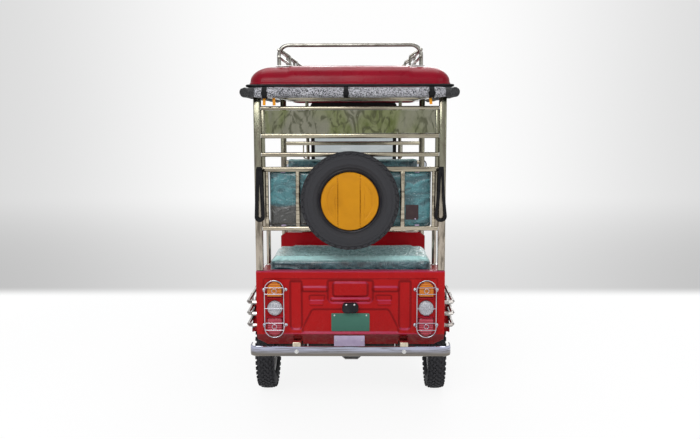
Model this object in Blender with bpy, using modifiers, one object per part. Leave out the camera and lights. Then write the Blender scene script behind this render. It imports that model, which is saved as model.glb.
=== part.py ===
"""Electric rickshaw with an open cab, built as separate parts at real size.

Metres, +Z up, +Y towards the front, +X to the driver's right. The origin lies on the
ground under the middle of the vehicle. Every object is one closed solid.
"""

import math

import bmesh
import bpy
from mathutils import Matrix, Vector

GAP = 0.0003            # clearance between pieces that touch
SIGNS = (-1, 1)
SIDES = tuple(zip(("left", "right"), SIGNS))

# Wheels
WHEEL_RADIUS = 0.25
TYRE_WIDTH = 0.095
BEAD_RADIUS = WHEEL_RADIUS - 0.098
BEAD_SHARE = 0.59       # width over the beads against the width of the tyre
FLANGE_X = BEAD_SHARE * TYRE_WIDTH / 2 + GAP
TYRE_STEPS = 32
RIM_STEPS = 16
REAR_AXLE_Y = -0.93
FRONT_AXLE_Y = 1.138
BODY_HALF = 0.49        # half the width over the tail panel and the rear posts
TRACK_HALF = BODY_HALF - 0.0195     # middle of the vehicle to the middle of a rear tyre
STUB_RADIUS = 0.015     # stub axle that carries a rear wheel

# Chassis
RAIL_X = 0.277          # middle of each long rail
RAIL_WIDTH = 0.05
RAIL_BOTTOM = 0.335
RAIL_HEIGHT = 0.05
RAIL_REAR = -1.255
RAIL_FRONT = FRONT_AXLE_Y - 0.338   # front of the floor, where the nose starts
FLOOR_THICKNESS = 0.0032
AXLE_RADIUS = 0.0275
HOUSING_RADIUS = 0.09   # round housing in the middle of the rear axle
MOTOR_RADIUS = 0.08

# Rear body
TAIL_Y = -1.315         # rear face of the tail panel
TAIL_TOP = 0.744
TAIL_CREASE = 0.409
TAIL_BOTTOM = 0.344
TAIL_WALL = 0.008
TAIL_FOLD = 0.047       # top fold of the panel, front to back
LIP_TUCK = 0.045        # how far the lip below the crease runs forward
SHEET = 0.003           # pressed sheet of the body boxes
DECK_Z = 0.70           # top of the box under the rear seat
RISER_Y = -0.84         # front face of that box
ARCH_RADIUS = WHEEL_RADIUS + 0.04
ARCH_INNER_X = BODY_HALF - 0.09
ARCH_OUTER_X = BODY_HALF + 0.04

# Cab
POST = 0.037            # square posts at the corners of the cab
BAR = 0.023             # depth of the cross bars
FRAME_Y = -1.31         # rear face of the rear posts
BAR_REAR = FRAME_Y + 0.004
ROOF_BASE = 1.70
ROOF_TOP = ROOF_BASE + 0.095
ROOF_RAIL_TOP = ROOF_BASE - 0.014
ROOF_RAIL = 0.040
ROOF_HALF = BODY_HALF + 0.02
ROOF_REAR = -1.36
ROOF_FRONT = RAIL_FRONT + 0.25
VISOR_DROP = 0.06
MID_Y = 0.048           # rear face of the middle posts
MID_OUTER = BODY_HALF - 0.005
HEADER_Y = RAIL_FRONT   # middle of the front header tube
POST_SLEEVE = 0.018     # how far the tube beside each rear post stands in from it

# Seats
SEAT_HALF = BODY_HALF - 0.0465
REAR_SEAT_TOP = 0.808
BOX_TOP = 0.575         # top of the box under the front bench
BOX_REAR = -0.36
BOX_FRONT = 0.44
BENCH_TOP = 0.675
PARTITION_TOP = 0.753

# Front
SHIELD_HALF = BODY_HALF - 0.09
COWL_HALF = SHIELD_HALF - 0.01      # widest half width of the nose cowl
RAKE = math.radians(20)
MUDGUARD_RADIUS = WHEEL_RADIUS + 0.032
COWL_BOTTOM = 0.585
COWL_TOP = 0.955
COWL_STEPS = 14
HEADLAMP_Z = 0.75
HEADLAMP_RADIUS = 0.085
HEADLAMP_REAR = RAIL_FRONT + 0.29
SCREEN_HALF = COWL_HALF - 0.06      # half the width over the rubber frame of the windscreen
SCREEN_POST_X = SCREEN_HALF + 0.0255
SCREEN_BASE_Y = RAIL_FRONT + 0.165
SCUTTLE_HALF = COWL_HALF - 0.005
SCUTTLE_FRONT = RAIL_FRONT + 0.185

FLOOR_BASE = RAIL_BOTTOM + RAIL_HEIGHT + GAP
FLOOR_TOP = FLOOR_BASE + FLOOR_THICKNESS
PARTS = bpy.data.collections.new("electric_rickshaw")
EMPTIES = bpy.data.collections.new("joint_axes")

PAINTS = {  # red, green, blue, metallic, roughness, alpha
    "red_paint": (0.45, 0.012, 0.02, 0.0, 0.35, 1.0),
    "steel": (0.62, 0.60, 0.56, 1.0, 0.22, 1.0),
    "chrome": (0.75, 0.76, 0.78, 1.0, 0.08, 1.0),
    "black_steel": (0.03, 0.03, 0.032, 0.2, 0.5, 1.0),
    "tyre_rubber": (0.022, 0.022, 0.026, 0.0, 0.85, 1.0),
    "rim_silver": (0.5, 0.5, 0.5, 0.7, 0.4, 1.0),
    "yellow_plastic": (0.62, 0.28, 0.01, 0.0, 0.4, 1.0),
    "teal_cover": (0.10, 0.33, 0.34, 0.0, 0.35, 1.0),
    "black_plastic": (0.02, 0.02, 0.02, 0.0, 0.45, 1.0),
    "grey_mesh": (0.30, 0.30, 0.33, 0.0, 0.8, 1.0),
    "lamp_plastic": (0.60, 0.05, 0.03, 0.0, 0.2, 1.0),
    "amber_plastic": (0.85, 0.32, 0.02, 0.0, 0.2, 1.0),
    "clear_glass": (0.8, 0.85, 0.85, 0.0, 0.05, 0.4),
    "green_plate": (0.04, 0.14, 0.10, 0.0, 0.5, 1.0),
    "pale_plate": (0.75, 0.68, 0.78, 0.0, 0.5, 1.0),
}


def clear_scene():
    """Remove what is in the scene and link the two collections."""
    for thing in list(bpy.data.objects):
        bpy.data.objects.remove(thing, do_unlink=True)
    for group in (PARTS, EMPTIES):
        bpy.context.scene.collection.children.link(group)


def paint(name):
    """Return the material of that name, made when it is first asked for."""
    found = bpy.data.materials.get(name)
    if found:
        return found
    red, green, blue, metallic, roughness, alpha = PAINTS[name]
    made = bpy.data.materials.new(name)
    made.use_nodes = True
    shader = made.node_tree.nodes["Principled BSDF"]
    shader.inputs["Base Color"].default_value = (red, green, blue, 1.0)
    shader.inputs["Metallic"].default_value = metallic
    shader.inputs["Roughness"].default_value = roughness
    shader.inputs["Alpha"].default_value = alpha
    made.diffuse_color = (red, green, blue, alpha)
    return made


def link(name, data, place=Matrix.Identity(4)):
    """Put a mesh or curve in the scene as an object at the given place."""
    piece = bpy.data.objects.new(name, data)
    piece.matrix_world = place
    PARTS.objects.link(piece)
    return piece


def baked(piece):
    """Swap an object for a plain closed mesh of its evaluated form, its place kept."""
    bpy.context.view_layer.update()
    graph = bpy.context.evaluated_depsgraph_get()
    mesh = bpy.data.meshes.new_from_object(piece.evaluated_get(graph))
    form = bmesh.new()
    form.from_mesh(mesh)
    bmesh.ops.remove_doubles(form, verts=form.verts, dist=0.00002)
    bmesh.ops.dissolve_degenerate(form, edges=form.edges, dist=0.000001)
    loose = [edge for edge in form.edges if not edge.link_faces]
    bmesh.ops.delete(form, geom=loose, context="EDGES")
    bmesh.ops.recalc_face_normals(form, faces=form.faces)
    form.to_mesh(mesh)
    form.free()
    place = piece.matrix_world.copy()
    bpy.data.objects.remove(piece, do_unlink=True)
    return link("solid", mesh, place)


def block(corner_a, corner_b):
    """A plain box between two opposite corners."""
    low = Vector([min(a, b) for a, b in zip(corner_a, corner_b)])
    high = Vector([max(a, b) for a, b in zip(corner_a, corner_b)])
    mesh = bpy.data.meshes.new("block")
    form = bmesh.new()
    bmesh.ops.create_cube(form, size=1.0)
    bmesh.ops.scale(form, vec=high - low, verts=form.verts)
    form.to_mesh(mesh)
    form.free()
    return link("block", mesh, Matrix.Translation((low + high) / 2))


def strut(start, end, width, depth=None):
    """A square tube between two points, its depth measured near the Y axis."""
    start, end = Vector(start), Vector(end)
    along = (end - start).normalized()
    side = along.cross(Vector((0, 1, 0))).normalized()
    across = along.cross(side)
    half, deep = width / 2, (depth or width) / 2
    piece = block((-half, -deep, 0), (half, deep, (end - start).length))
    turn = Matrix((side, across, along)).transposed()
    if turn.determinant() < 0:
        turn = Matrix((-side, across, along)).transposed()
    piece.matrix_world = Matrix.Translation((start + end) / 2) @ turn.to_4x4()
    return piece


def rod(start, end, radius, sides=20):
    """A round bar between two points."""
    start, end = Vector(start), Vector(end)
    mesh = bpy.data.meshes.new("rod")
    form = bmesh.new()
    bmesh.ops.create_cone(form, cap_ends=True, segments=sides, radius1=radius, radius2=radius,
                          depth=(end - start).length)
    form.to_mesh(mesh)
    form.free()
    turn = (end - start).to_track_quat("Z", "Y").to_matrix().to_4x4()
    return link("rod", mesh, Matrix.Translation((start + end) / 2) @ turn)


def rounded(points, radius, steps=4, closed=False):
    """Points of a path whose corners are turned into arcs of the given radius."""
    points = [Vector(point) for point in points]
    count = len(points)
    path = []
    for index, corner in enumerate(points):
        if not closed and index in (0, count - 1):
            path.append(corner)
            continue
        back = (points[index - 1] - corner)
        ahead = (points[(index + 1) % count] - corner)
        half = back.angle(ahead) / 2
        reach = min(radius / math.tan(half), 0.49 * back.length, 0.49 * ahead.length)
        arc = reach * math.tan(half)
        middle = corner + (back.normalized() + ahead.normalized()).normalized() * arc / math.sin(half)
        first = corner + back.normalized() * reach - middle
        last = corner + ahead.normalized() * reach - middle
        for step in range(steps + 1):
            path.append(middle + first.normalized().slerp(last.normalized(), step / steps) * arc)
    return path


def pipe(points, radius, closed=False, resolution=2):
    """A round tube along a path of points, with filled ends."""
    curve = bpy.data.curves.new("pipe", "CURVE")
    curve.dimensions = "3D"
    curve.bevel_depth = radius
    curve.bevel_resolution = resolution
    curve.use_fill_caps = not closed
    line = curve.splines.new("POLY")
    line.points.add(len(points) - 1)
    for knot, point in zip(line.points, points):
        knot.co = (*point, 1)
    line.use_cyclic_u = closed
    return baked(link("pipe", curve))


def plate(outline, low, high, axis="Z", holes=()):
    """A flat outline, in the plane across an axis, with its thickness from low to high."""
    curve = bpy.data.curves.new("plate", "CURVE")
    curve.dimensions = "2D"
    curve.fill_mode = "BOTH"
    curve.extrude = (high - low) / 2
    for ring in (outline, *holes):
        line = curve.splines.new("POLY")
        line.points.add(len(ring) - 1)
        for knot, point in zip(line.points, ring):
            knot.co = (point[0], point[1], 0, 1)
        line.use_cyclic_u = True
    columns = {"X": ((0, 1, 0), (0, 0, 1), (1, 0, 0)),
               "Y": ((1, 0, 0), (0, 0, 1), (0, -1, 0)),
               "Z": ((1, 0, 0), (0, 1, 0), (0, 0, 1))}[axis]
    turn = Matrix(columns).transposed().to_4x4()
    offset = Vector(columns[2]) * (low + high) / 2
    if axis == "Y":
        offset = -offset
    return baked(link("plate", curve, Matrix.Translation(offset) @ turn))


def box_outline(half_width, low, high, radius=0.0, centre=0.0, steps=3):
    """A rectangle, with round corners when a radius is given."""
    corners = [(centre - half_width, low, 0), (centre + half_width, low, 0),
               (centre + half_width, high, 0), (centre - half_width, high, 0)]
    if radius:
        corners = rounded(corners, radius, steps, closed=True)
    return [(point[0], point[1]) for point in corners]


def turned(profile, centre=(0, 0, 0), axis="X", steps=RIM_STEPS, closed=True, start=0.0):
    """A shape turned about an axis from its section of (radius, distance along the axis)."""
    mesh = bpy.data.meshes.new("turned")
    form = bmesh.new()
    dots = [form.verts.new((radius, 0, along)) for radius, along in profile]
    for first, second in zip(dots, dots[1:]):
        form.edges.new((first, second))
    if closed:
        form.edges.new((dots[-1], dots[0]))
    form.to_mesh(mesh)
    form.free()
    cosine, sine = math.cos(start), math.sin(start)
    columns = {"X": ((0, cosine, sine), (0, -sine, cosine), (1, 0, 0)),
               "Y": ((0, 0, 1), (1, 0, 0), (0, 1, 0)),
               "Z": ((1, 0, 0), (0, 1, 0), (0, 0, 1))}[axis]
    piece = link("turned", mesh, Matrix.Translation(centre) @ Matrix(columns).transposed().to_4x4())
    spin = piece.modifiers.new("Turn", "SCREW")
    spin.angle = 2 * math.pi
    spin.steps = spin.render_steps = steps
    spin.use_merge_vertices = True
    spin.merge_threshold = 0.00001
    return baked(piece)


def combine(piece, others, operation):
    """Join other solids to a piece, or cut them from it, and remove them."""
    for other in others:
        step = piece.modifiers.new(operation.title(), "BOOLEAN")
        step.operation = operation
        step.solver = "EXACT"
        step.object = other
    solid = baked(piece)
    for other in others:
        bpy.data.objects.remove(other, do_unlink=True)
    return solid


def fuse(piece, *others):
    """One solid out of pieces that overlap."""
    return combine(piece, others, "UNION")


def cut(piece, *tools):
    """A piece with the tools' shapes cut away."""
    return combine(piece, tools, "DIFFERENCE")


def moved(piece, place):
    """Turn and move a finished solid by a matrix."""
    bpy.context.view_layer.update()
    piece.matrix_world = place @ piece.matrix_world
    return piece


def soften(piece, width, segments=2, angle=30):
    """Round the sharp edges of a piece."""
    edge = piece.modifiers.new("Round", "BEVEL")
    edge.width = width
    edge.segments = segments
    edge.angle_limit = math.radians(angle)
    return piece


def node(name, piece, colour, axle=None, sharp=35):
    """Name a finished piece, paint it and hang it on its joint's empty if it moves."""
    piece = baked(piece)
    piece.name = piece.data.name = name
    piece.data.materials.clear()
    piece.data.materials.append(paint(colour))
    piece.data.shade_smooth()
    piece.data.set_sharp_from_angle(angle=math.radians(sharp))
    bpy.context.view_layer.update()
    if axle:
        piece.parent = axle
        piece.matrix_parent_inverse = axle.matrix_world.inverted()
    return piece


def joint_empty(name, place):
    """An empty that stands on a joint's axis."""
    mark = bpy.data.objects.new(name, None)
    mark.matrix_world = place
    mark.empty_display_size = 0.1
    EMPTIES.objects.link(mark)
    bpy.context.view_layer.update()
    return mark


def tyre(centre):
    """A tyre as a solid ring, with a flat facet on the ground."""
    half = TYRE_WIDTH / 2
    height = WHEEL_RADIUS - BEAD_RADIUS
    section = (  # share of the height above the bead, share of the half width
        (1.0, 0.25), (0.94, 0.72), (0.78, 0.93), (0.49, 1.0), (0.14, BEAD_SHARE), (0.0, BEAD_SHARE))
    facet = math.pi / TYRE_STEPS
    side = [((BEAD_RADIUS + height * share) / math.cos(facet), half * across) for share, across in section]
    back = [(radius, -across) for radius, across in reversed(side)]
    return turned(back + side, centre, "X", TYRE_STEPS, start=facet)


def rim(centre, hub, outward=1):
    """A pressed steel rim and disc, with the given hub section of (radius, distance)."""
    flange = BEAD_RADIUS + 0.010
    seat = BEAD_RADIUS - 0.002
    wall = 0.0035
    barrel = [(flange, FLANGE_X + wall), (flange, FLANGE_X), (seat, FLANGE_X),
              (seat - 0.019, 0.014), (seat - 0.019, -0.014), (seat, -FLANGE_X),
              (flange, -FLANGE_X), (flange, -FLANGE_X - wall), (seat - wall, -FLANGE_X),
              (seat - wall - 0.019, -0.015)]
    disc_back = [(seat - wall - 0.019, 0.002), (0.100, 0.014)]
    disc_front = [(0.098, 0.018), (seat - wall - 0.019, 0.007), (seat - wall - 0.019, 0.015),
                  (seat - wall, FLANGE_X)]
    section = barrel + disc_back + list(hub) + disc_front
    section = [(radius, along * outward) for radius, along in section]
    return turned(section, centre, "X", RIM_STEPS)


def spin_hub():
    """Section of a rear wheel's hub and brake drum, from the disc's inner face round to its outer."""
    drum = 0.080
    return [(drum, 0.014), (drum, -0.035), (drum - 0.006, -0.035), (drum - 0.006, 0.006),
            (STUB_RADIUS + GAP, 0.006), (STUB_RADIUS + GAP, 0.035), (0.0, 0.035),
            (0.0, 0.045), (0.022, 0.043), (0.027, 0.036), (0.030, 0.018)]


def through_hub(bore):
    """Section of a front wheel's hub, bored right through."""
    outer = 0.036
    return [(outer, 0.014), (outer, -0.045), (bore, -0.045), (bore, 0.045), (outer, 0.045), (outer, 0.018)]


def build_rear_wheels():
    """The two rear wheels, each on an empty at its spin axis."""
    for side, sign in SIDES:
        centre = (sign * TRACK_HALF, REAR_AXLE_Y, WHEEL_RADIUS)
        axle = joint_empty(f"rear_{side}_spin", Matrix.Translation(centre))
        node(f"rear_tyre_{side}", tyre(centre), "tyre_rubber", axle)
        node(f"rear_rim_{side}", rim(centre, spin_hub(), sign), "rim_silver", axle)


def build_rear_axle():
    """Axle beam with its round housing, backing plates and stub ends, and the motor beside it."""
    plate_out = TRACK_HALF - 0.035 - 0.005
    stub_end = TRACK_HALF + 0.035 - GAP
    half = [(0.0, stub_end), (STUB_RADIUS, stub_end), (STUB_RADIUS, plate_out), (0.078, plate_out),
            (0.078, plate_out - 0.005), (0.040, plate_out - 0.010), (AXLE_RADIUS, plate_out - 0.04)]
    shoulder = [(AXLE_RADIUS, 0.115), (0.066, 0.065), (HOUSING_RADIUS, 0.035)]
    right = half + shoulder
    left = [(radius, -along) for radius, along in reversed(right)]
    beam = turned(right + left, (0, REAR_AXLE_Y, WHEEL_RADIUS), "X", 20, closed=False)
    node("rear_axle", fuse(beam, *leaf_springs()), "black_steel")
    motor_y = REAR_AXLE_Y + HOUSING_RADIUS + MOTOR_RADIUS + GAP
    can = [(0.0, 0.23), (0.03, 0.23), (0.032, 0.215), (MOTOR_RADIUS * 0.9, 0.21), (MOTOR_RADIUS, 0.195),
           (MOTOR_RADIUS, -0.015), (MOTOR_RADIUS * 0.9, -0.03), (0.0, -0.03)]
    node("motor", turned(can, (0, motor_y, WHEEL_RADIUS), "X", 20, closed=False), "black_steel")


def leaf_springs():
    """Leaf springs from the axle up to the long rails."""
    seat = WHEEL_RADIUS + AXLE_RADIUS - 0.004
    reach = 0.31
    eye = 0.028
    top = RAIL_BOTTOM - GAP
    springs = []
    for sign in SIGNS:
        outline = [(REAR_AXLE_Y - reach, top - eye), (REAR_AXLE_Y - 0.06, seat), (REAR_AXLE_Y + 0.06, seat),
                   (REAR_AXLE_Y + reach, top - eye), (REAR_AXLE_Y + reach, top),
                   (REAR_AXLE_Y + reach - 0.03, top), (REAR_AXLE_Y + reach - 0.04, top - 0.012),
                   (REAR_AXLE_Y + 0.07, seat + 0.030), (REAR_AXLE_Y - 0.07, seat + 0.030),
                   (REAR_AXLE_Y - reach + 0.04, top - 0.012), (REAR_AXLE_Y - reach + 0.03, top),
                   (REAR_AXLE_Y - reach, top)]
        middle = sign * RAIL_X
        springs.append(plate(outline, middle - 0.022, middle + 0.022, "X"))
    return springs


def steering_point(height):
    """Point on the steering axis at a height above the ground."""
    return Vector((0, FRONT_AXLE_Y - math.tan(RAKE) * (height - WHEEL_RADIUS), height))


def build_chassis():
    """Long rails, cross members, front column and the steering head, in one welded frame."""
    half = RAIL_WIDTH / 2
    top = RAIL_BOTTOM + RAIL_HEIGHT
    rails = [block((middle - half, RAIL_REAR, RAIL_BOTTOM), (middle + half, RAIL_FRONT, top))
             for middle in (-RAIL_X, RAIL_X)]
    crossings = (RAIL_REAR + 0.10, -0.50, 0.0, 0.45, RAIL_FRONT - half)
    reach, low, high = half - 0.003, RAIL_BOTTOM + 0.002, top - 0.002
    members = [block((-RAIL_X, y - reach, low), (RAIL_X, y + reach, high)) for y in crossings]
    column_y = RAIL_FRONT + 0.004
    column = block((-0.026, column_y, RAIL_BOTTOM + 0.004), (0.026, column_y + 0.05, 0.80))
    foot = block((-0.06, RAIL_FRONT - half, RAIL_BOTTOM + 0.006), (0.06, column_y + 0.03, top - 0.006))
    head_low, head_high = steering_point(0.64), steering_point(0.80)
    head = rod(head_low, head_high, 0.027)
    web = [(column_y + 0.04, 0.62), (head_low.y, 0.655), (head_high.y, 0.785), (column_y + 0.04, 0.79)]
    gusset = plate(web, -0.020, 0.020, "X")
    bore = rod(steering_point(0.60), steering_point(0.84), 0.0165)
    frame = fuse(rails[0], rails[1], *members, column, foot, gusset, head)
    node("chassis_frame", cut(frame, bore), "black_steel")


def build_floor():
    """Floor sheet with a notch at each rear wheel, and the sills along its edges."""
    rear, front = TAIL_Y + 0.035, RAIL_FRONT - 0.004
    notch_rear, notch_front = REAR_AXLE_Y - 0.31, REAR_AXLE_Y + 0.31
    taper = front - 0.30
    half = BODY_HALF - 0.006
    right = [(half, rear), (half, taper), (SHIELD_HALF, front)]
    outline = right + [(-x, y) for x, y in reversed(right)]
    notches = [block((sign * (ARCH_INNER_X - 0.002), notch_rear, FLOOR_BASE - 0.1),
                     (sign * 0.6, notch_front, FLOOR_TOP + 0.1)) for sign in SIGNS]
    pieces = [cut(plate(outline, FLOOR_BASE, FLOOR_TOP - GAP, "Z"), *notches)]
    for sign in SIGNS:
        pieces.append(block((sign * (half - 0.003), notch_front + 0.002, RAIL_BOTTOM - 0.02),
                            (sign * (half + 0.004), taper - 0.002, FLOOR_TOP - 0.001)))
    node("floor_pan", fuse(*pieces), "black_steel")


def build_rear_body():
    """Sheet box under the rear seat, open below and behind, with a bulged arch over each wheel."""
    inner_y = TAIL_Y + TAIL_WALL + GAP
    lip_slope = LIP_TUCK / (TAIL_CREASE - TAIL_BOTTOM)
    lip_top = TAIL_CREASE + 0.006
    foot_y = inner_y + (lip_top - FLOOR_TOP) * lip_slope + 0.003
    profile = [(inner_y, DECK_Z), (inner_y, lip_top), (foot_y, FLOOR_TOP), (RISER_Y, FLOOR_TOP),
               (RISER_Y, DECK_Z)]
    half = BODY_HALF - 0.003
    shell = plate(profile, -half, half, "X")
    hollow = block((SHEET - half, -2.0, 0.2), (half - SHEET, RISER_Y - SHEET, DECK_Z - SHEET))
    axis = Vector((0, REAR_AXLE_Y, WHEEL_RADIUS))
    openings, arches = [], []
    for sign in SIGNS:
        inner, outer = sign * ARCH_INNER_X, sign * ARCH_OUTER_X
        clear = outer + sign * 0.17
        spans = (  # start, end, radius
            (inner + sign * 0.0015, clear, ARCH_RADIUS - 0.0015), (inner, outer - sign * 0.003, ARCH_RADIUS),
            (outer - sign * 0.006, outer, ARCH_RADIUS + 0.010), (inner + sign * SHEET, clear, ARCH_RADIUS - SHEET))
        opening, drum, lip, space = [rod(axis + Vector((start, 0, 0)), axis + Vector((end, 0, 0)), radius, 36)
                                     for start, end, radius in spans]
        openings.append(opening)
        below = block((inner - sign * 0.1, -2.0, -0.5), (clear, 0.0, FLOOR_TOP))
        arches.append(cut(fuse(drum, lip), space, below))
    body = cut(shell, hollow, *openings)
    node("rear_body", fuse(body, *arches), "red_paint")


def build_tail_panel():
    """Pressed tail panel with a folded top, a tucked lip and the pressed troughs."""
    face, wall = TAIL_Y, TAIL_WALL
    low_y = face + LIP_TUCK
    profile = [(face + TAIL_FOLD, TAIL_TOP), (face, TAIL_TOP), (face, TAIL_CREASE), (low_y, TAIL_BOTTOM),
               (low_y + wall, TAIL_BOTTOM + 0.005), (face + wall, TAIL_CREASE + 0.003),
               (face + wall, TAIL_TOP - wall), (face + TAIL_FOLD, TAIL_TOP - wall)]
    panel = plate(profile, -BODY_HALF, BODY_HALF, "X")
    depth = 0.005
    tools = []
    for sign in SIGNS:
        recesses = (  # middle x, half width, low, high, corner radius
            (0.2855, 0.0325, 0.430, 0.675, 0.030), (0.1805, 0.0675, 0.627, 0.659, 0.012),
            (0.178, 0.044, 0.574, 0.614, 0.010))
        for middle, half, low, high, corner in recesses:
            outline = box_outline(half, low, high, corner, sign * middle)
            tools.append(plate(outline, face - 0.01, face + depth, "Y"))
        corner_x = [sign * (BODY_HALF + step) for step in (0.010, 0.010, -0.005, -0.055)]
        notch = list(zip(corner_x, (0.33, 0.372, 0.372, 0.33)))
        tools.append(plate(notch, face - 0.02, face + 0.2, "Y"))
        slot = box_outline(RAIL_WIDTH / 2 + 0.001, RAIL_BOTTOM - 0.02, 0.395, centre=sign * RAIL_X)
        tools.append(plate(slot, face - 0.02, face + 0.2, "Y"))
    well = [(-0.25, 0.424), (-0.24, 0.414), (0.24, 0.414), (0.25, 0.424), (0.20, 0.522), (0.19, 0.529),
            (-0.19, 0.529), (-0.20, 0.522)]
    tools.append(plate(well, face - 0.01, face + depth, "Y"))
    tools.append(plate(box_outline(0.10, 0.58, 0.68, 0.02), face - 0.01, face + 0.003, "Y"))
    node("tail_panel", cut(panel, *tools), "red_paint", sharp=30)


def build_tail_fittings():
    """Lamps, lamp guards, number plate, plate lamp and the blank sign on the tail."""
    face = TAIL_Y - GAP
    lamp_x = BODY_HALF - 0.097
    for side, sign in SIDES:
        x = sign * lamp_x
        base = plate(box_outline(0.044, 0.405, 0.697, 0.040, x, 4), face - 0.010, face, "Y")
        amber = plate(box_outline(0.038, 0.616, 0.690, 0.034, x, 3), face - 0.034, face - 0.004, "Y")
        clear = rod((x, face - 0.036, 0.551), (x, face - 0.004, 0.551), 0.041, sides=16)
        red = plate(box_outline(0.038, 0.412, 0.498, 0.034, x, 3), face - 0.034, face - 0.004, "Y")
        node(f"tail_lamp_{side}", fuse(base, amber, clear, red, *lamp_guard(x, face)), "lamp_plastic")
    well = TAIL_Y + 0.005 - GAP
    number_plate = plate(box_outline(0.10, 0.424, 0.520, 0.006), well - 0.0015, well, "Y")
    node("number_plate", number_plate, "green_plate")
    lamp = plate(box_outline(0.042, 0.5295, 0.580, 0.010), face - 0.030, face, "Y")
    node("plate_lamp", soften(lamp, 0.004), "black_plastic")
    sign_plate = plate(box_outline(0.08, 0.342, 0.4115, 0.004, -0.006), face - 0.002, face, "Y")
    node("rear_sign", sign_plate, "pale_plate")


def lamp_guard(x, face):
    """Wire guard round one tail lamp, its four feet on the lamp's base."""
    wire, out = 0.003, 0.046
    y = face - out
    ring = [(point[0], y, point[1]) for point in box_outline(0.049, 0.405, 0.703, 0.048, x, 4)]
    pieces = [pipe(ring, wire, closed=True, resolution=1)]
    for z in (0.671, 0.636, 0.566, 0.475, 0.440):
        pieces.append(pipe([(x - 0.049, y - 0.0005, z), (x + 0.049, y - 0.0005, z)], wire * 0.9, resolution=1))
    for z in (0.645, 0.454):
        for hand in (-1, 1):
            ear = x + hand * 0.058
            foot = [(x + hand * 0.049, y + 0.0005, z), (ear, y + 0.003, z), (ear, face - 0.005, z),
                    (x + hand * 0.040, face - 0.005, z)]
            pieces.append(pipe(foot, wire * 0.95, resolution=1))
    return pieces


def build_rear_bumper():
    """Bumper bar with ends that curve forward, and the two posts that carry it."""
    half, rear, front = BODY_HALF + 0.03, -1.39, -1.30
    thick, low, high = 0.005, 0.309, 0.365
    corner = 0.065
    path = rounded([(-half, front, 0), (-half, rear, 0), (half, rear, 0), (half, front, 0)], corner, 5)
    outer = [(point.x, point.y) for point in path]
    inner = rounded([(half - thick, front, 0), (half - thick, rear + thick, 0),
                     (thick - half, rear + thick, 0), (thick - half, front, 0)], corner - thick, 5)
    outline = outer + [(point.x, point.y) for point in inner]
    bar = plate(outline, low, high, "Z")
    posts = [block((sign * RAIL_X - 0.0215, rear + thick - 0.002, low + 0.006),
                   (sign * RAIL_X + 0.0215, RAIL_REAR - GAP, RAIL_BOTTOM + RAIL_HEIGHT)) for sign in SIGNS]
    node("rear_bumper", fuse(bar, *posts), "chrome")


def build_rear_frame():
    """Steel frame above the tail: corner posts, five bars, uprights and the polished sheet."""
    post_top = ROOF_RAIL_TOP - ROOF_RAIL - GAP
    bars = (  # low, high
        (0.954, 0.977), (1.258, 1.284), (1.335, 1.358), (1.429, 1.454), (1.572, 1.592))
    pieces = []
    for sign in SIGNS:
        pieces.append(block((sign * BODY_HALF, FRAME_Y, TAIL_TOP + GAP),
                            (sign * (BODY_HALF - POST), FRAME_Y + POST, post_top)))
        inner = BODY_HALF - POST - POST_SLEEVE
        pieces.append(block((sign * inner, FRAME_Y + 0.012, 0.962),
                            (sign * (BODY_HALF - 0.010), FRAME_Y + 0.034, 1.584)))
        for low_x, high_x in ((inner - 0.016, inner + 0.001), (inner - 0.177, inner - 0.155)):
            pieces.append(block((sign * low_x, BAR_REAR + 0.0015, 0.966),
                                (sign * high_x, BAR_REAR + BAR - 0.0015, 1.270)))
        x = sign * (BODY_HALF - POST / 2)
        arm = [(x, FRAME_Y + POST / 2, 0.966), (x, RISER_Y - 0.03, 0.966), (x, RISER_Y - 0.03, DECK_Z + GAP)]
        pieces.append(pipe(rounded(arm, 0.08, 5), 0.0125))
    reach = BODY_HALF - POST / 2
    pieces += [block((-reach, BAR_REAR, low), (reach, BAR_REAR + BAR, high)) for low, high in bars]
    node("rear_frame", fuse(*pieces), "steel")
    sheet_y = BAR_REAR + BAR / 2
    sheet_half = BODY_HALF - POST - POST_SLEEVE - GAP
    node("rear_sheet", block((-sheet_half, sheet_y, bars[3][1] + GAP),
                             (sheet_half, sheet_y + 0.0015, bars[4][0] - GAP)), "steel")


def build_cab_frame():
    """Roof rails with headers, bows and windscreen posts, and the middle frame behind the driver."""
    low, top = ROOF_RAIL_TOP - ROOF_RAIL, ROOF_RAIL_TOP
    pieces = []
    for sign in SIGNS:
        pieces.append(block((sign * BODY_HALF, FRAME_Y - 0.025, low),
                            (sign * (BODY_HALF - ROOF_RAIL), HEADER_Y + 0.02, top)))
        pieces.append(strut((sign * SCREEN_POST_X, SCREEN_BASE_Y, COWL_TOP + 0.016),
                            (sign * SCREEN_POST_X, HEADER_Y, top - 0.02), 0.025))
    reach = BODY_HALF - ROOF_RAIL / 2
    for y in (FRAME_Y + POST / 2, -0.62, MID_Y + POST / 2, HEADER_Y):
        pieces.append(block((-reach, y - 0.015, low + 0.004), (reach, y + 0.015, top - 0.004)))
    node("roof_frame", fuse(*pieces), "steel")
    post_top = low - GAP
    middle = []
    for sign in SIGNS:
        middle.append(block((sign * MID_OUTER, MID_Y, FLOOR_TOP),
                            (sign * (MID_OUTER - POST), MID_Y + POST, post_top)))
    reach = MID_OUTER - POST / 2
    for rail_low, rail_high in ((0.735, 0.762), (1.215, 1.240), (1.345, 1.370)):
        middle.append(block((-reach, MID_Y + 0.001, rail_low), (reach, MID_Y + POST - 0.001, rail_high)))
    node("mid_frame", fuse(*middle), "steel")


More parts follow.
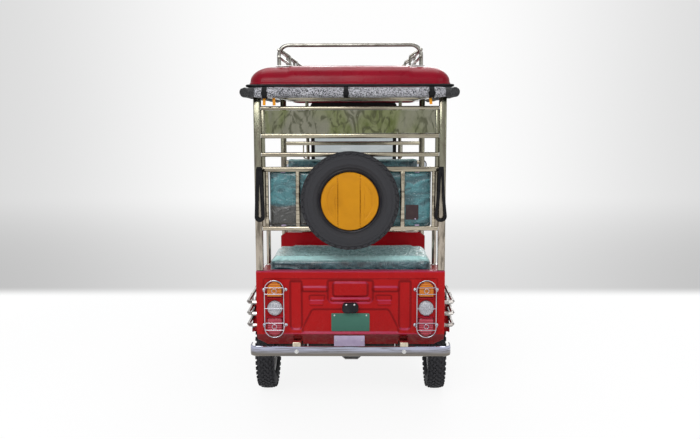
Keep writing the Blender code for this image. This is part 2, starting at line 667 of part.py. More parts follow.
def build_roof():
    """Moulded roof shell with two ribs and a dropped visor, and the black trim under its edge."""
    mesh = bpy.data.meshes.new("roof")
    form = bmesh.new()
    bmesh.ops.create_cube(form, size=1.0)
    size = Vector((2 * ROOF_HALF, ROOF_FRONT - ROOF_REAR, ROOF_TOP - ROOF_BASE))
    bmesh.ops.scale(form, vec=size, verts=form.verts)
    middle = Vector((0, (ROOF_FRONT + ROOF_REAR) / 2, (ROOF_TOP + ROOF_BASE) / 2))
    bmesh.ops.translate(form, vec=middle, verts=form.verts)
    uprights = [edge for edge in form.edges if abs(edge.verts[0].co.z - edge.verts[1].co.z) > 0.01]
    bmesh.ops.bevel(form, geom=uprights, offset=0.07, segments=3, profile=0.5, affect="EDGES")
    rim_edges = [edge for edge in form.edges if min(v.co.z for v in edge.verts) > ROOF_TOP - 0.001]
    bmesh.ops.bevel(form, geom=rim_edges, offset=0.07, segments=4, profile=0.5, affect="EDGES")
    bottom = [face for face in form.faces if face.normal.z < -0.9]
    bmesh.ops.delete(form, geom=bottom, context="FACES_ONLY")
    for cut_y in (HEADER_Y + 0.025, HEADER_Y + 0.10):
        everything = form.verts[:] + form.edges[:] + form.faces[:]
        bmesh.ops.bisect_plane(form, geom=everything, plane_co=(0, cut_y, 0), plane_no=(0, 1, 0))
    visor_y = HEADER_Y + 0.025
    for vert in form.verts:
        if vert.co.y > visor_y:
            vert.co.z -= VISOR_DROP * ((vert.co.y - visor_y) / (ROOF_FRONT - visor_y)) ** 1.5
    form.to_mesh(mesh)
    form.free()
    shell = link("roof", mesh)
    wall = shell.modifiers.new("Wall", "SOLIDIFY")
    wall.thickness = 0.004
    wall.offset = -1
    shell = baked(shell)
    rib_x = ROOF_HALF - 0.204
    ribs = [block((middle - 0.018, ROOF_REAR + 0.10, ROOF_TOP - 0.002),
                  (middle + 0.018, HEADER_Y - 0.08, ROOF_TOP + 0.004)) for middle in (-rib_x, rib_x)]
    node("roof_shell", fuse(shell, *[baked(soften(rib, 0.003)) for rib in ribs]), "red_paint", sharp=40)
    low, high = ROOF_REAR - 0.015, HEADER_Y - 0.005
    outline = box_outline(ROOF_HALF + 0.015, low, high, 0.05)
    hole = box_outline(BODY_HALF - 0.045, low + 0.08, high - 0.02, 0.02)
    node("roof_trim", plate(outline, ROOF_RAIL_TOP + GAP, ROOF_BASE - GAP, "Z", [hole]), "black_plastic")


def build_roof_rack():
    """Bent tube rack that stands on the roof."""
    tube, half, top = 0.010, ROOF_HALF - 0.145, 1.903
    rear, front = -1.21, -0.25
    foot = ROOF_TOP + GAP
    hoop = rounded([(-half, rear, foot), (-half, rear, top), (half, rear, top), (half, rear, foot)], 0.05, 4)
    pieces = [pipe(hoop, tube)]
    for sign in SIGNS:
        x = sign * (half - 0.001)
        for z in (top - 0.025, top - 0.060):
            pieces.append(pipe([(x, rear - 0.02, z), (x, front + 0.02, z)], tube * 0.8))
        for y in ((rear + front) / 2, front):
            pieces.append(pipe([(x, y, foot), (x, y, top - 0.025)], tube * 0.75))
    node("roof_rack", fuse(*pieces), "steel")


def build_curtains():
    """Rolled curtains under the roof's edge: one behind, one along each side."""
    roll, side_roll, side_x = 0.027, 0.0262, BODY_HALF + 0.032
    z = ROOF_RAIL_TOP - roll
    y = ROOF_REAR - 0.005
    rolls = [rod((-side_x, y, z), (side_x, y, z), roll, sides=16)]
    rolls += [rod((sign * side_x, y - 0.034, z), (sign * side_x, MID_Y + 0.25, z), side_roll, sides=16)
              for sign in SIGNS]
    node("curtain_rolls", fuse(*rolls), "grey_mesh")


def build_grab_loops():
    """Hanging strap loops behind the rear posts."""
    top, bottom, strap = 1.285, 1.002, 0.005
    for side, sign in SIDES:
        x = sign * (BODY_HALF - 0.026)
        narrow, wide = 0.012, 0.036
        outer = [(x - narrow, top, 0), (x - wide, bottom, 0), (x + wide, bottom, 0), (x + narrow, top, 0)]
        narrow, wide = narrow - strap, wide - strap
        inner = [(x - narrow, top - strap, 0), (x - wide, bottom + strap, 0), (x + wide, bottom + strap, 0),
                 (x + narrow, top - strap, 0)]
        outline = rounded(outer, 0.016, 4, closed=True)
        hole = rounded(inner, 0.011, 4, closed=True)
        loop = plate(outline, FRAME_Y - GAP - 0.020, FRAME_Y - GAP, "Y", [hole])
        node(f"grab_loop_{side}", loop, "black_plastic")


def build_spare_wheel():
    """Spare wheel on its carrier behind the rear frame, with a round cover."""
    centre = Vector((0, -1.3725, 1.1176))
    place = Matrix.Translation(centre) @ Matrix.Rotation(-math.pi / 2, 4, "Z")
    hole = 0.030
    spare_hub = [(hole, 0.014), (hole, 0.018)]
    node("spare_tyre", moved(tyre((0, 0, 0)), place), "tyre_rubber")
    spare_rim = moved(rim((0, 0, 0), spare_hub), place)
    edge = BEAD_RADIUS - 0.0055 - 0.0005
    out, seat = TYRE_WIDTH / 2, FLANGE_X + GAP
    section = [(0, out), (0.10, out - 0.001), (0.130, out - 0.004), (edge - 0.001, out - 0.009),
               (edge, out - 0.011), (edge, seat), (edge - 0.004, seat), (0.128, out - 0.008), (0.10, out - 0.005),
               (0, out - 0.004)]
    node("spare_cover", moved(turned(section, closed=False), place), "yellow_plastic")
    back = BAR_REAR - GAP
    straps = [block((sign * 0.05 - 0.015, back - 0.004, 0.958), (sign * 0.05 + 0.015, back, 1.280))
              for sign in SIGNS]
    cross = block((-0.063, back - 0.0045, centre.z - 0.04), (0.063, back - 0.0005, centre.z + 0.04))
    boss = rod((0, back - 0.002, centre.z), (0, centre.y - 0.026, centre.z), hole + 0.004)
    node("spare_rim", fuse(spare_rim, boss, cross, *straps), "rim_silver")


def build_seats():
    """Cushions and backrests of the rear bench, the front bench and the driver."""
    rear_back, bench_back = BAR_REAR + BAR + GAP, MID_Y + 0.001 - GAP
    driver_back = MID_Y + POST - 0.001 + GAP
    cushions = (  # name, half width, rear, front, low, high, edge radius
        ("rear_seat_cushion", SEAT_HALF, TAIL_Y + TAIL_FOLD + GAP, RISER_Y, DECK_Z + GAP, REAR_SEAT_TOP, 0.020),
        ("rear_backrest", BODY_HALF - 0.058, rear_back, -1.230, 0.956, 1.282, 0.016),
        ("front_bench_cushion", MID_OUTER - 0.04, BOX_REAR - 0.04, MID_Y - 0.018, BOX_TOP + GAP, BENCH_TOP, 0.018),
        ("front_bench_backrest", MID_OUTER - POST - 0.002, MID_Y - 0.060, bench_back, PARTITION_TOP + GAP, 1.267,
         0.018),
        ("driver_cushion", 0.24, MID_Y + POST + 0.01, BOX_FRONT, BOX_TOP + GAP, 0.665, 0.018),
        ("driver_backrest", 0.22, driver_back, 0.140, 0.740, 1.150, 0.016))
    for name, half, rear, front, low, high, edge in cushions:
        node(name, soften(block((-half, rear, low), (half, front, high)), edge, 3), "teal_cover")


def build_boxes():
    """Seat box and partition behind the driver, and the battery block under the rear seat."""
    half = MID_OUTER - POST - GAP * 2
    box = block((-half, BOX_REAR, FLOOR_TOP), (half, BOX_FRONT, BOX_TOP))
    hollow = block((SHEET - half, BOX_REAR + SHEET, FLOOR_TOP - 0.1),
                   (half - SHEET, BOX_FRONT - SHEET, BOX_TOP - SHEET))
    low, top = BOX_TOP - 0.002, PARTITION_TOP
    shoulder = BODY_HALF - 0.04
    outline = [(-BODY_HALF, low), (BODY_HALF, low), (BODY_HALF, top - 0.023), (shoulder, top), (-shoulder, top),
               (-BODY_HALF, top - 0.023)]
    partition = plate(outline, MID_Y - 0.015, MID_Y - GAP, "Y")
    node("front_box", fuse(cut(box, hollow), partition), "red_paint")
    node("battery_block", block((-0.26, TAIL_Y + 0.095, FLOOR_TOP), (0.26, RISER_Y - 0.06, DECK_Z - 0.09)),
         "black_plastic")


def build_side_guards():
    """Three stacked rails beside each rear wheel, turned in to the body and tied by two straps."""
    tube = 0.0100
    rear, front = -1.27, -0.87
    outer = BODY_HALF + 0.061 - tube
    body = BODY_HALF - 0.003 + GAP
    rows = (0.569, 0.508, 0.446)
    for side, sign in SIDES:
        pieces = []
        for index, z in enumerate(rows):
            path = [(sign * body, rear, z), (sign * outer, rear, z), (sign * outer, front, z)]
            if index == 0:
                path.append((sign * body, front, z))
            pieces.append(pipe(rounded(path, 0.03, 2), tube, resolution=1))
        for y in (-1.08, front - 0.020):
            low, high = (sign * (outer - 0.004), y - 0.012, rows[-1]), (sign * (outer + 0.004), y + 0.012, rows[0])
            pieces.append(block(low, high))
        node(f"side_guard_{side}", fuse(*pieces), "steel")


def cowl_outline(height, inset=0.0):
    """Points of the nose cowl's outline at a height, from one side round to the other."""
    sections = (  # height, half width, depth ahead of the leg shield, squareness
        (COWL_BOTTOM, COWL_HALF - 0.09, 0.30, 0.60), (0.66, COWL_HALF - 0.03, 0.355, 0.60),
        (HEADLAMP_Z, COWL_HALF - 0.005, 0.385, 0.60), (0.84, COWL_HALF, 0.35, 0.55),
        (0.91, COWL_HALF, 0.25, 0.45), (COWL_TOP, SCUTTLE_HALF, 0.175, 0.35))
    upper = next(index for index, row in enumerate(sections) if height <= row[0] + 1e-6)
    first, last = sections[max(upper - 1, 0)], sections[upper]
    share = 1.0 if upper == 0 else (height - first[0]) / (last[0] - first[0])
    half, depth, power = [a + (b - a) * share for a, b in zip(first[1:], last[1:])]
    points = []
    for step in range(COWL_STEPS + 1):
        angle = math.pi * (step / COWL_STEPS - 0.5)
        across = math.copysign(abs(math.sin(angle)) ** 0.8, angle)
        ahead = max(math.cos(angle), 0.0) ** power
        points.append(((half - inset) * across, RAIL_FRONT + GAP + (depth - inset) * ahead))
    return points


def build_cowl():
    """Nose cowl lofted through its outlines, leg shield, scuttle and the lamps in the nose."""
    mesh = bpy.data.meshes.new("cowl")
    form = bmesh.new()
    rows = []
    for height in (COWL_BOTTOM, 0.66, HEADLAMP_Z, 0.80, 0.84, 0.88, 0.91, 0.935, COWL_TOP):
        rows.append([form.verts.new((x, y, height)) for x, y in cowl_outline(height)])
    for low, high in zip(rows, rows[1:]):
        for index in range(len(low) - 1):
            form.faces.new((low[index], high[index], high[index + 1], low[index + 1]))
    form.to_mesh(mesh)
    form.free()
    shell = link("cowl", mesh)
    wall = shell.modifiers.new("Wall", "SOLIDIFY")
    wall.thickness = 0.003
    wall.offset = -1
    shell = baked(shell)
    turn_x = COWL_HALF - 0.12
    lamps = (  # x, radius, rear y, front y
        (0.0, HEADLAMP_RADIUS, HEADLAMP_REAR, HEADLAMP_REAR + 0.128),
        (-turn_x, 0.033, HEADLAMP_REAR - 0.005, HEADLAMP_REAR + 0.078),
        (turn_x, 0.033, HEADLAMP_REAR - 0.005, HEADLAMP_REAR + 0.078))
    bodies = []
    for x, radius, rear, front in lamps:
        section = [(0, front), (radius * 0.6, front - radius * 0.05), (radius * 0.86, front - radius * 0.16),
                   (radius * 0.92, front - radius * 0.26), (radius, front - radius * 0.28),
                   (radius, front - radius * 0.9), (radius * 0.6, rear + 0.01), (0, rear)]
        bodies.append(turned(section, (x, 0, HEADLAMP_Z), "Y", 20 if x == 0 else 12, closed=False))
    node("headlamp", bodies[0], "chrome")
    rear, front = HEADLAMP_REAR - 0.11, HEADLAMP_REAR + 0.26
    hole = rod((0, rear, HEADLAMP_Z), (0, front, HEADLAMP_Z), HEADLAMP_RADIUS + GAP)
    node("front_cowl", fuse(cut(shell, hole), *bodies[1:]), "red_paint", sharp=50)
    outline = box_outline(SHIELD_HALF, FLOOR_BASE, COWL_TOP, 0.04)
    node("leg_shield", plate(outline, RAIL_FRONT - SHEET, RAIL_FRONT - GAP, "Y"), "red_paint")
    top = rounded([(-SCUTTLE_HALF, RAIL_FRONT + GAP, 0), (SCUTTLE_HALF, RAIL_FRONT + GAP, 0),
                   (SCUTTLE_HALF, SCUTTLE_FRONT, 0), (-SCUTTLE_HALF, SCUTTLE_FRONT, 0)], 0.04, 3, closed=True)
    scuttle = plate(top, COWL_TOP + GAP, COWL_TOP + 0.012, "Z")
    column = steering_point(COWL_TOP)
    opening = rod((0, column.y, COWL_TOP - 0.02), (0, column.y, COWL_TOP + 0.03), 0.036)
    node("scuttle", cut(scuttle, opening), "black_plastic")


def build_windscreen():
    """Rubber frame and glass of the leaning windscreen."""
    base_z = COWL_TOP + 0.012 + GAP
    run, rise = SCREEN_BASE_Y - HEADER_Y, ROOF_RAIL_TOP - 0.02 - (COWL_TOP + 0.016)
    lean = math.atan2(run, rise)
    half_depth = 0.007
    low = half_depth * math.tan(lean)
    high = (ROOF_RAIL_TOP - ROOF_RAIL + 0.004 - base_z) / math.cos(lean) - 0.010
    place = Matrix.Translation((0, SCREEN_BASE_Y, base_z)) @ Matrix.Rotation(lean, 4, "X")
    outer = box_outline(SCREEN_HALF, low, high, 0.03)
    inner = box_outline(SCREEN_HALF - 0.028, low + 0.028, high - 0.028, 0.02)
    node("windscreen_frame", moved(plate(outer, -half_depth, half_depth, "Y", [inner]), place), "black_plastic")
    glass = box_outline(SCREEN_HALF - 0.028 - GAP, low + 0.028 + GAP, high - 0.028 - GAP, 0.02)
    node("windscreen_glass", moved(plate(glass, -0.0025, 0.0025, "Y"), place), "clear_glass")


def build_front_trim():
    """Tube guard round the nose and the mirrors on the windscreen posts."""
    tube = 0.0125
    start, front, z = RAIL_FRONT + GAP, RAIL_FRONT + 0.44, 0.615
    wide, bend, nose = COWL_HALF - 0.012, front - 0.22, COWL_HALF - 0.15
    lower = [(-wide, start, z), (-wide, bend, z), (-nose, front, z), (nose, front, z), (wide, bend, z),
             (wide, start, z)]
    side, top = 0.16, (front + 0.01, 0.86)
    hoop = [(-side, front, z), (-side, *top), (side, *top), (side, front, z)]
    pipes = pipe(rounded(lower, 0.10, 4), tube), pipe(rounded(hoop, 0.07, 4), tube * 0.9)
    node("front_guard", fuse(*pipes), "steel")
    post_x = SCREEN_POST_X + 0.0125 + GAP
    elbow, reach = SCREEN_POST_X + 0.0645, SCREEN_POST_X + 0.1645
    slope = (SCREEN_BASE_Y - HEADER_Y) / (ROOF_RAIL_TOP - 0.02 - COWL_TOP - 0.016)
    z = 1.10
    y = SCREEN_BASE_Y - slope * (z - COWL_TOP - 0.016)
    for side, sign in SIDES:
        path = [(sign * post_x, y, z), (sign * elbow, y, z), (sign * (reach - 0.04), y + 0.02, z + 0.05),
                (sign * reach, y + 0.02, z + 0.05)]
        stalk = pipe(rounded(path, 0.02, 3), 0.005)
        head = plate(box_outline(0.052, z + 0.005, z + 0.095, 0.030, sign * reach), y + 0.010, y + 0.030, "Y")
        node(f"mirror_{side}", fuse(head, stalk), "black_plastic")


def build_steering():
    """Fork, mudguard, handlebar and front wheel on the raked steering axis."""
    place = Matrix.Translation((0, FRONT_AXLE_Y, WHEEL_RADIUS)) @ Matrix.Rotation(RAKE, 4, "X")
    pivot = joint_empty("steering", place)
    pin = 0.0085
    leg_x = 0.085
    legs = []
    for sign in SIGNS:
        legs.append(rod((sign * leg_x, 0, -0.03), (sign * leg_x, 0, 0.20), 0.021, sides=16))
        legs.append(rod((sign * leg_x, 0, 0.17), (sign * leg_x, 0, 0.395), 0.015, sides=16))
    axle = rod((-0.11, 0, 0), (0.11, 0, 0), pin, sides=16)
    crown = soften(block((-0.105, -0.026, 0.355), (0.105, 0.026, 0.383)), 0.006, 1)
    stem = rod((0, 0, 0.37), (0, 0, 0.780), 0.0155)
    fork = fuse(axle, *legs, baked(crown), stem)
    node("front_fork", moved(fork, place), "black_steel", pivot)
    bar = pipe(rounded([(-0.27, -0.16, 0.835), (-0.15, -0.07, 0.835), (-0.07, 0, 0.80), (0.07, 0, 0.80),
                        (0.15, -0.07, 0.835), (0.27, -0.16, 0.835)], 0.05, 3), 0.011)
    clamp = rod((0, 0, 0.780 + GAP), (0, 0, 0.822), 0.020)
    grips = [rod((sign * 0.18, -0.0925, 0.835), (sign * 0.278, -0.166, 0.835), 0.017, sides=16)
             for sign in SIGNS]
    node("handlebar", moved(fuse(bar, clamp, *grips), place), "black_plastic", pivot)
    build_front_mudguard(place, pivot)
    hub = joint_empty("front_wheel_spin", Matrix.Translation((0, FRONT_AXLE_Y, WHEEL_RADIUS)))
    hub.parent = pivot
    hub.matrix_parent_inverse = pivot.matrix_world.inverted()
    bpy.context.view_layer.update()
    centre = (0, FRONT_AXLE_Y, WHEEL_RADIUS)
    node("front_tyre", tyre(centre), "tyre_rubber", hub)
    node("front_rim", rim(centre, through_hub(pin + GAP)), "rim_silver", hub)


def build_front_mudguard(place, pivot):
    """Curved mudguard over the front wheel, hung from the fork's crown."""
    radius = MUDGUARD_RADIUS
    step, count = math.radians(9), 18
    edge, shoulder = radius - 0.018, radius - 0.006
    section = ((edge, -0.063), (shoulder, -0.055), (radius, -0.034), (radius, 0.034), (shoulder, 0.055),
               (edge, 0.063))
    mesh = bpy.data.meshes.new("mudguard")
    form = bmesh.new()
    rows = []
    for index in range(count + 1):
        angle = step * (index - 1)
        across, up = math.cos(angle), math.sin(angle)
        rows.append([form.verts.new((x, reach * across, reach * up)) for reach, x in section])
    for first, second in zip(rows, rows[1:]):
        for index in range(len(section) - 1):
            form.faces.new((first[index], second[index], second[index + 1], first[index + 1]))
    form.to_mesh(mesh)
    form.free()
    arc = link("mudguard", mesh, Matrix.Translation((0, FRONT_AXLE_Y, WHEEL_RADIUS)))
    wall = arc.modifiers.new("Wall", "SOLIDIFY")
    wall.thickness = 0.0025
    wall.offset = -1
    hanger = moved(block((-0.020, -0.012, radius - 0.0015), (0.020, 0.012, 0.355 - GAP)), place)
    node("front_mudguard", fuse(baked(arc), hanger), "red_paint", pivot)


def main():
    """Build every part of the vehicle."""
    clear_scene()
    build_chassis()
    build_floor()
    build_rear_axle()
    build_rear_wheels()
    build_rear_body()
    build_tail_panel()
    build_tail_fittings()
    build_rear_bumper()
    build_rear_frame()
    build_cab_frame()
    build_roof()
    build_roof_rack()
    build_curtains()
    build_grab_loops()
    build_spare_wheel()
    build_seats()
    build_boxes()
    build_side_guards()
    build_cowl()
    build_windscreen()
    build_front_trim()
    build_steering()


main()
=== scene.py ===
"""Looks of an electric passenger rickshaw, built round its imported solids.

Metres, +Z up, +Y towards the front of the vehicle, +X to the driver's right. Each
sub-assembly is a class that holds its sizes and makes its own pieces.
"""

import logging
import math
from collections.abc import Callable, Iterable, Sequence
from dataclasses import dataclass
from enum import Enum

import bmesh
import bpy
from mathutils import Matrix, Vector, noise


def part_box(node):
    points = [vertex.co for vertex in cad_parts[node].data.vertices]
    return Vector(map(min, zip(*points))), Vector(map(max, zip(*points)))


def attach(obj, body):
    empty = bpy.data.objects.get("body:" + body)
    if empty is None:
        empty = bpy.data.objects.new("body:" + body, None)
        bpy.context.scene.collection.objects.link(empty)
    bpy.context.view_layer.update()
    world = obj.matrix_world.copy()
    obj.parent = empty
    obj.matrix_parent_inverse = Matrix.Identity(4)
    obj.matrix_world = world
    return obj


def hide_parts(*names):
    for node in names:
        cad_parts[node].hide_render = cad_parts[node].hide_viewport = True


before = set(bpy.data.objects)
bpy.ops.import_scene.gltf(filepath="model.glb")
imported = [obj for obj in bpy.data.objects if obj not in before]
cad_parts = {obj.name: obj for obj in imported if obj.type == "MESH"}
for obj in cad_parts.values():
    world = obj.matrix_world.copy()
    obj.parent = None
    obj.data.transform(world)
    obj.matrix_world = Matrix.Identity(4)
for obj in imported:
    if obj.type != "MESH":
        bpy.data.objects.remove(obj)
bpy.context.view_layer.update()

log = logging.getLogger("rickshaw")

Point = tuple[float, float, float]
Flat = tuple[float, float]
Colour = tuple[float, float, float]
Socket = bpy.types.NodeSocket
# Room that a piece keeps to the solid beside it
GAP = 0.0003
SIGNS = (-1, 1)
# Chassis rails, rear axle, front hub and the height of the hubs
RAIL_X = 0.277
AXLE_Y = -0.93
FRONT_Y = 1.138
HUB_Z = 0.25
FLIP_Y = Matrix.Scale(-1, 4, Vector((0, 1, 0)))


class Body(Enum):
    """Bodies that a piece may ride on."""

    CHASSIS = "chassis"
    STEERING = "steering"
    FRONT_WHEEL = "front_wheel"
    REAR_LEFT = "rear_left_wheel"
    REAR_RIGHT = "rear_right_wheel"


class Axis(Enum):
    """Axis across a flat outline or along a turned shape, with the matrix that lays it there."""

    X = ((0, 1, 0), (0, 0, 1), (1, 0, 0))
    Y = ((1, 0, 0), (0, 0, 1), (0, 1, 0))
    Z = ((1, 0, 0), (0, 1, 0), (0, 0, 1))

    @property
    def turn(self) -> Matrix:
        """Matrix that turns the local axes to the part's."""
        return Matrix(self.value).transposed().to_4x4()


def side_name(sign: int) -> str:
    """Name of the side that a sign of X stands for."""
    return "left" if sign < 0 else "right"


def eased(share: float) -> float:
    """Smooth step from 0 to 1 of a share that may lie outside that range."""
    share = min(max(share, 0.0), 1.0)
    return share * share * (3 - 2 * share)


def circle(radius: float, sides: int, across: float = 0.0, up: float = 0.0) -> list[Flat]:
    """Points of a circle round a middle, in a flat frame."""
    turns = [2 * math.pi * step / sides for step in range(sides)]
    return [(across + radius * math.cos(turn), up + radius * math.sin(turn)) for turn in turns]


def wheel_arc(centre: Point, radius: float, start: float, end: float) -> list[Vector]:
    """Points of an arc round a wheel's centre, between two angles in degrees up from the front."""
    x, y, z = centre
    turns = [math.radians(start + (end - start) * step / 40) for step in range(41)]
    return [Vector((x, y + radius * math.cos(turn), z + radius * math.sin(turn))) for turn in turns]


def held(spot: Vector, low: Vector, high: Vector) -> Vector:
    """Nearest place to a point that keeps the gap to the walls of a box."""
    return Vector([min(max(spot[axis], low[axis] + GAP), high[axis] - GAP) for axis in range(3)])


def rounded_path(corners: Sequence[Point], radius: float, steps: int = 6,
                 closed: bool = False) -> list[Vector]:
    """Turn the corners of a path into arcs.

    Args:
        corners: Corner points of the path.
        radius: Radius of every arc, in metres.
        steps: Parts of each arc.
        closed: Whether the last corner joins the first.

    Returns:
        Points along the rounded path.
    """
    points = [Vector(corner) for corner in corners]
    count = len(points)
    path: list[Vector] = []
    for index, corner in enumerate(points):
        if not closed and index in (0, count - 1):
            path.append(corner)
            continue
        back = points[index - 1] - corner
        ahead = points[(index + 1) % count] - corner
        half = back.angle(ahead) / 2
        reach = min(radius / math.tan(half), 0.49 * back.length, 0.49 * ahead.length)
        arc = reach * math.tan(half)
        middle = corner + (back.normalized() + ahead.normalized()).normalized() * arc / math.sin(half)
        first = (corner + back.normalized() * reach - middle).normalized()
        last = (corner + ahead.normalized() * reach - middle).normalized()
        path += [middle + first.slerp(last, step / steps) * arc for step in range(steps + 1)]
    return path


def rounded_box(half: float, low: float, high: float, radius: float, centre: float = 0.0,
                steps: int = 5) -> list[Flat]:
    """Outline of a rectangle with round corners, as flat points.

    Args:
        half: Half the width.
        low: Lowest value across.
        high: Highest value across.
        radius: Radius of the corners.
        centre: Middle of the width.
        steps: Parts of each corner.

    Returns:
        Points of the outline in order.
    """
    corners = [(centre - half, low, 0), (centre + half, low, 0), (centre + half, high, 0),
               (centre - half, high, 0)]
    return [(point.x, point.y) for point in rounded_path(corners, radius, steps, closed=True)]


class Shape:
    """A bmesh under construction, in the part's frame and in metres."""

    def __init__(self) -> None:
        """Start with an empty mesh."""
        self.form = bmesh.new()

    @classmethod
    def block(cls, low: Sequence[float], high: Sequence[float], bevel: float = 0.0,
              segments: int = 2) -> "Shape":
        """Make a box between two opposite corners.

        Args:
            low: One corner.
            high: The opposite corner.
            bevel: Width of the round along its edges.
            segments: Parts of that round.

        Returns:
            The new shape.
        """
        shape = cls()
        lowest = Vector([min(pair) for pair in zip(low, high)])
        highest = Vector([max(pair) for pair in zip(low, high)])
        bmesh.ops.create_cube(shape.form, size=1.0)
        bmesh.ops.scale(shape.form, vec=highest - lowest, verts=shape.form.verts)
        shape.move(Matrix.Translation((lowest + highest) / 2))
        return shape.bevel(bevel, segments) if bevel else shape

    @classmethod
    def bar(cls, start: Point, end: Point, width: float, depth: float, bevel: float = 0.002) -> "Shape":
        """Make a square tube between two points, its depth measured near the Y axis."""
        first, last = Vector(start), Vector(end)
        along = (last - first).normalized()
        side = along.cross(Vector((0, 1, 0)))
        side = side.normalized() if side.length > 0.01 else Vector((1, 0, 0))
        across = along.cross(side)
        shape = cls.block((-width / 2, -depth / 2, 0), (width / 2, depth / 2, (last - first).length), bevel)
        return shape.move(Matrix.Translation(first) @ Matrix((side, across, along)).transposed().to_4x4())

    @classmethod
    def rod(cls, start: Point, end: Point, radius: float, tip: float | None = None, sides: int = 32,
            bevel: float = 0.0) -> "Shape":
        """Make a round bar, or a cone, between two points.

        Args:
            start: Middle of the first end.
            end: Middle of the last end.
            radius: Radius at the first end.
            tip: Radius at the last end, the same where none is given.
            sides: Number of sides.
            bevel: Width of the round at both ends.

        Returns:
            The new shape.
        """
        shape = cls()
        first, last = Vector(start), Vector(end)
        bmesh.ops.create_cone(shape.form, cap_ends=True, segments=sides, radius1=radius,
                              radius2=radius if tip is None else tip, depth=(last - first).length)
        if bevel:
            shape.bevel(bevel, 2, 40)
        turn = (last - first).to_track_quat("Z", "Y").to_matrix().to_4x4()
        return shape.move(Matrix.Translation((first + last) / 2) @ turn)

    @classmethod
    def ball(cls, centre: Point, radius: float, stretch: Point = (1, 1, 1), sides: int = 16) -> "Shape":
        """Make a ball, or an egg where it is stretched."""
        shape = cls()
        bmesh.ops.create_uvsphere(shape.form, u_segments=sides, v_segments=max(sides // 2, 6), radius=radius)
        bmesh.ops.scale(shape.form, vec=stretch, verts=shape.form.verts)
        return shape.move(Matrix.Translation(centre))

    @classmethod
    def lathe(cls, section: Sequence[Flat], axis: Axis, steps: int = 64, closed: bool = False) -> "Shape":
        """Turn a section round an axis through the origin.

        Args:
            section: Points of (radius, distance along the axis).
            axis: Axis of the turn.
            steps: Parts of the full turn.
            closed: Whether the section's last point joins its first.

        Returns:
            The new shape, with its faces outwards.
        """
        shape = cls()
        dots = [shape.form.verts.new((radius, 0.0, along)) for radius, along in section]
        pairs = list(zip(dots, dots[1:])) + ([(dots[-1], dots[0])] if closed else [])
        edges = [shape.form.edges.new(pair) for pair in pairs]
        bmesh.ops.spin(shape.form, geom=dots + edges, cent=(0, 0, 0), axis=(0, 0, 1), dvec=(0, 0, 0),
                       angle=2 * math.pi, steps=steps, use_merge=True, use_normal_flip=False,
                       use_duplicate=False)
        return shape.move(axis.turn).tidy()

    @classmethod
    def tube(cls, path: Sequence[Vector], radius: float, sides: int = 16, closed: bool = False) -> "Shape":
        """Sweep a circle along a path.

        Args:
            path: Points of the middle line.
            radius: Radius of the tube.
            sides: Number of sides.
            closed: Whether the path is a ring.

        Returns:
            The new shape, with capped ends where it is open.
        """
        shape = cls()
        places = path_places(path, closed)
        ring = bmesh.ops.create_circle(shape.form, cap_ends=False, segments=sides, radius=radius)["verts"]
        bmesh.ops.transform(shape.form, matrix=places[0], verts=ring)
        first = edges = list({edge for vert in ring for edge in vert.link_edges})
        for before, after in zip(places, places[1:]):
            made = bmesh.ops.extrude_edge_only(shape.form, edges=edges)["geom"]
            verts = {item for item in made if isinstance(item, bmesh.types.BMVert)}
            edges = [item for item in made if isinstance(item, bmesh.types.BMEdge)
                     and set(item.verts) <= verts]
            bmesh.ops.transform(shape.form, matrix=after @ before.inverted(), verts=list(verts))
        if not closed:
            bmesh.ops.holes_fill(shape.form, edges=first + edges, sides=0)
        return shape.tidy()

    @classmethod
    def slab(cls, outline: Sequence[Flat], axis: Axis, low: float, high: float, bevel: float = 0.0,
             segments: int = 2, holes: Sequence[Sequence[Flat]] = ()) -> "Shape":
        """Give a flat outline a thickness.

        Args:
            outline: Points of the outline in the plane across the axis.
            axis: Axis of the thickness.
            low: Where the thickness starts.
            high: Where it ends.
            bevel: Width of the round along its edges.
            segments: Parts of that round.
            holes: Outlines of the openings.

        Returns:
            The new shape.
        """
        shape = cls()
        rings = []
        for ring in (outline, *holes):
            dots = [shape.form.verts.new((across, up, low)) for across, up in ring]
            rings.append([shape.form.edges.new(pair) for pair in zip(dots, dots[1:] + dots[:1])])
        if holes:
            bmesh.ops.triangle_fill(shape.form, use_beauty=True, use_dissolve=True,
                                    edges=[edge for ring in rings for edge in ring])
        else:
            bmesh.ops.contextual_create(shape.form, geom=rings[0])
        made = bmesh.ops.extrude_face_region(shape.form, geom=shape.form.faces[:])["geom"]
        raised = [item for item in made if isinstance(item, bmesh.types.BMVert)]
        bmesh.ops.translate(shape.form, vec=(0, 0, high - low), verts=raised)
        shape.move(axis.turn).tidy()
        return shape.bevel(bevel, segments) if bevel else shape

    @classmethod
    def grid(cls, columns: int, rows: int, place: Callable[[float, float], Sequence[float]]) -> "Shape":
        """Make a sheet from a grid, each point put where a function of its two shares says."""
        shape = cls()
        bmesh.ops.create_grid(shape.form, x_segments=columns, y_segments=rows, size=0.5)
        for vert in shape.form.verts:
            vert.co = place(vert.co.x + 0.5, vert.co.y + 0.5)
        return shape

    @classmethod
    def loft(cls, rings: Sequence[Sequence[Sequence[float]]], caps: Sequence[int] = (0, -1),
             closed: bool = False) -> "Shape":
        """Stretch a skin over rings of the same number of points.

        Args:
            rings: The rings in order.
            caps: Which rings are filled.
            closed: Whether the last ring joins the first.

        Returns:
            The new shape.
        """
        shape = cls()
        loops = []
        for ring in rings:
            dots = [shape.form.verts.new(point) for point in ring]
            loops.append([shape.form.edges.new(pair) for pair in zip(dots, dots[1:] + dots[:1])])
        for first, second in zip(loops, loops[1:] + (loops[:1] if closed else [])):
            bmesh.ops.bridge_loops(shape.form, edges=first + second)
        for cap in () if closed else caps:
            bmesh.ops.contextual_create(shape.form, geom=loops[cap])
        return shape.tidy()

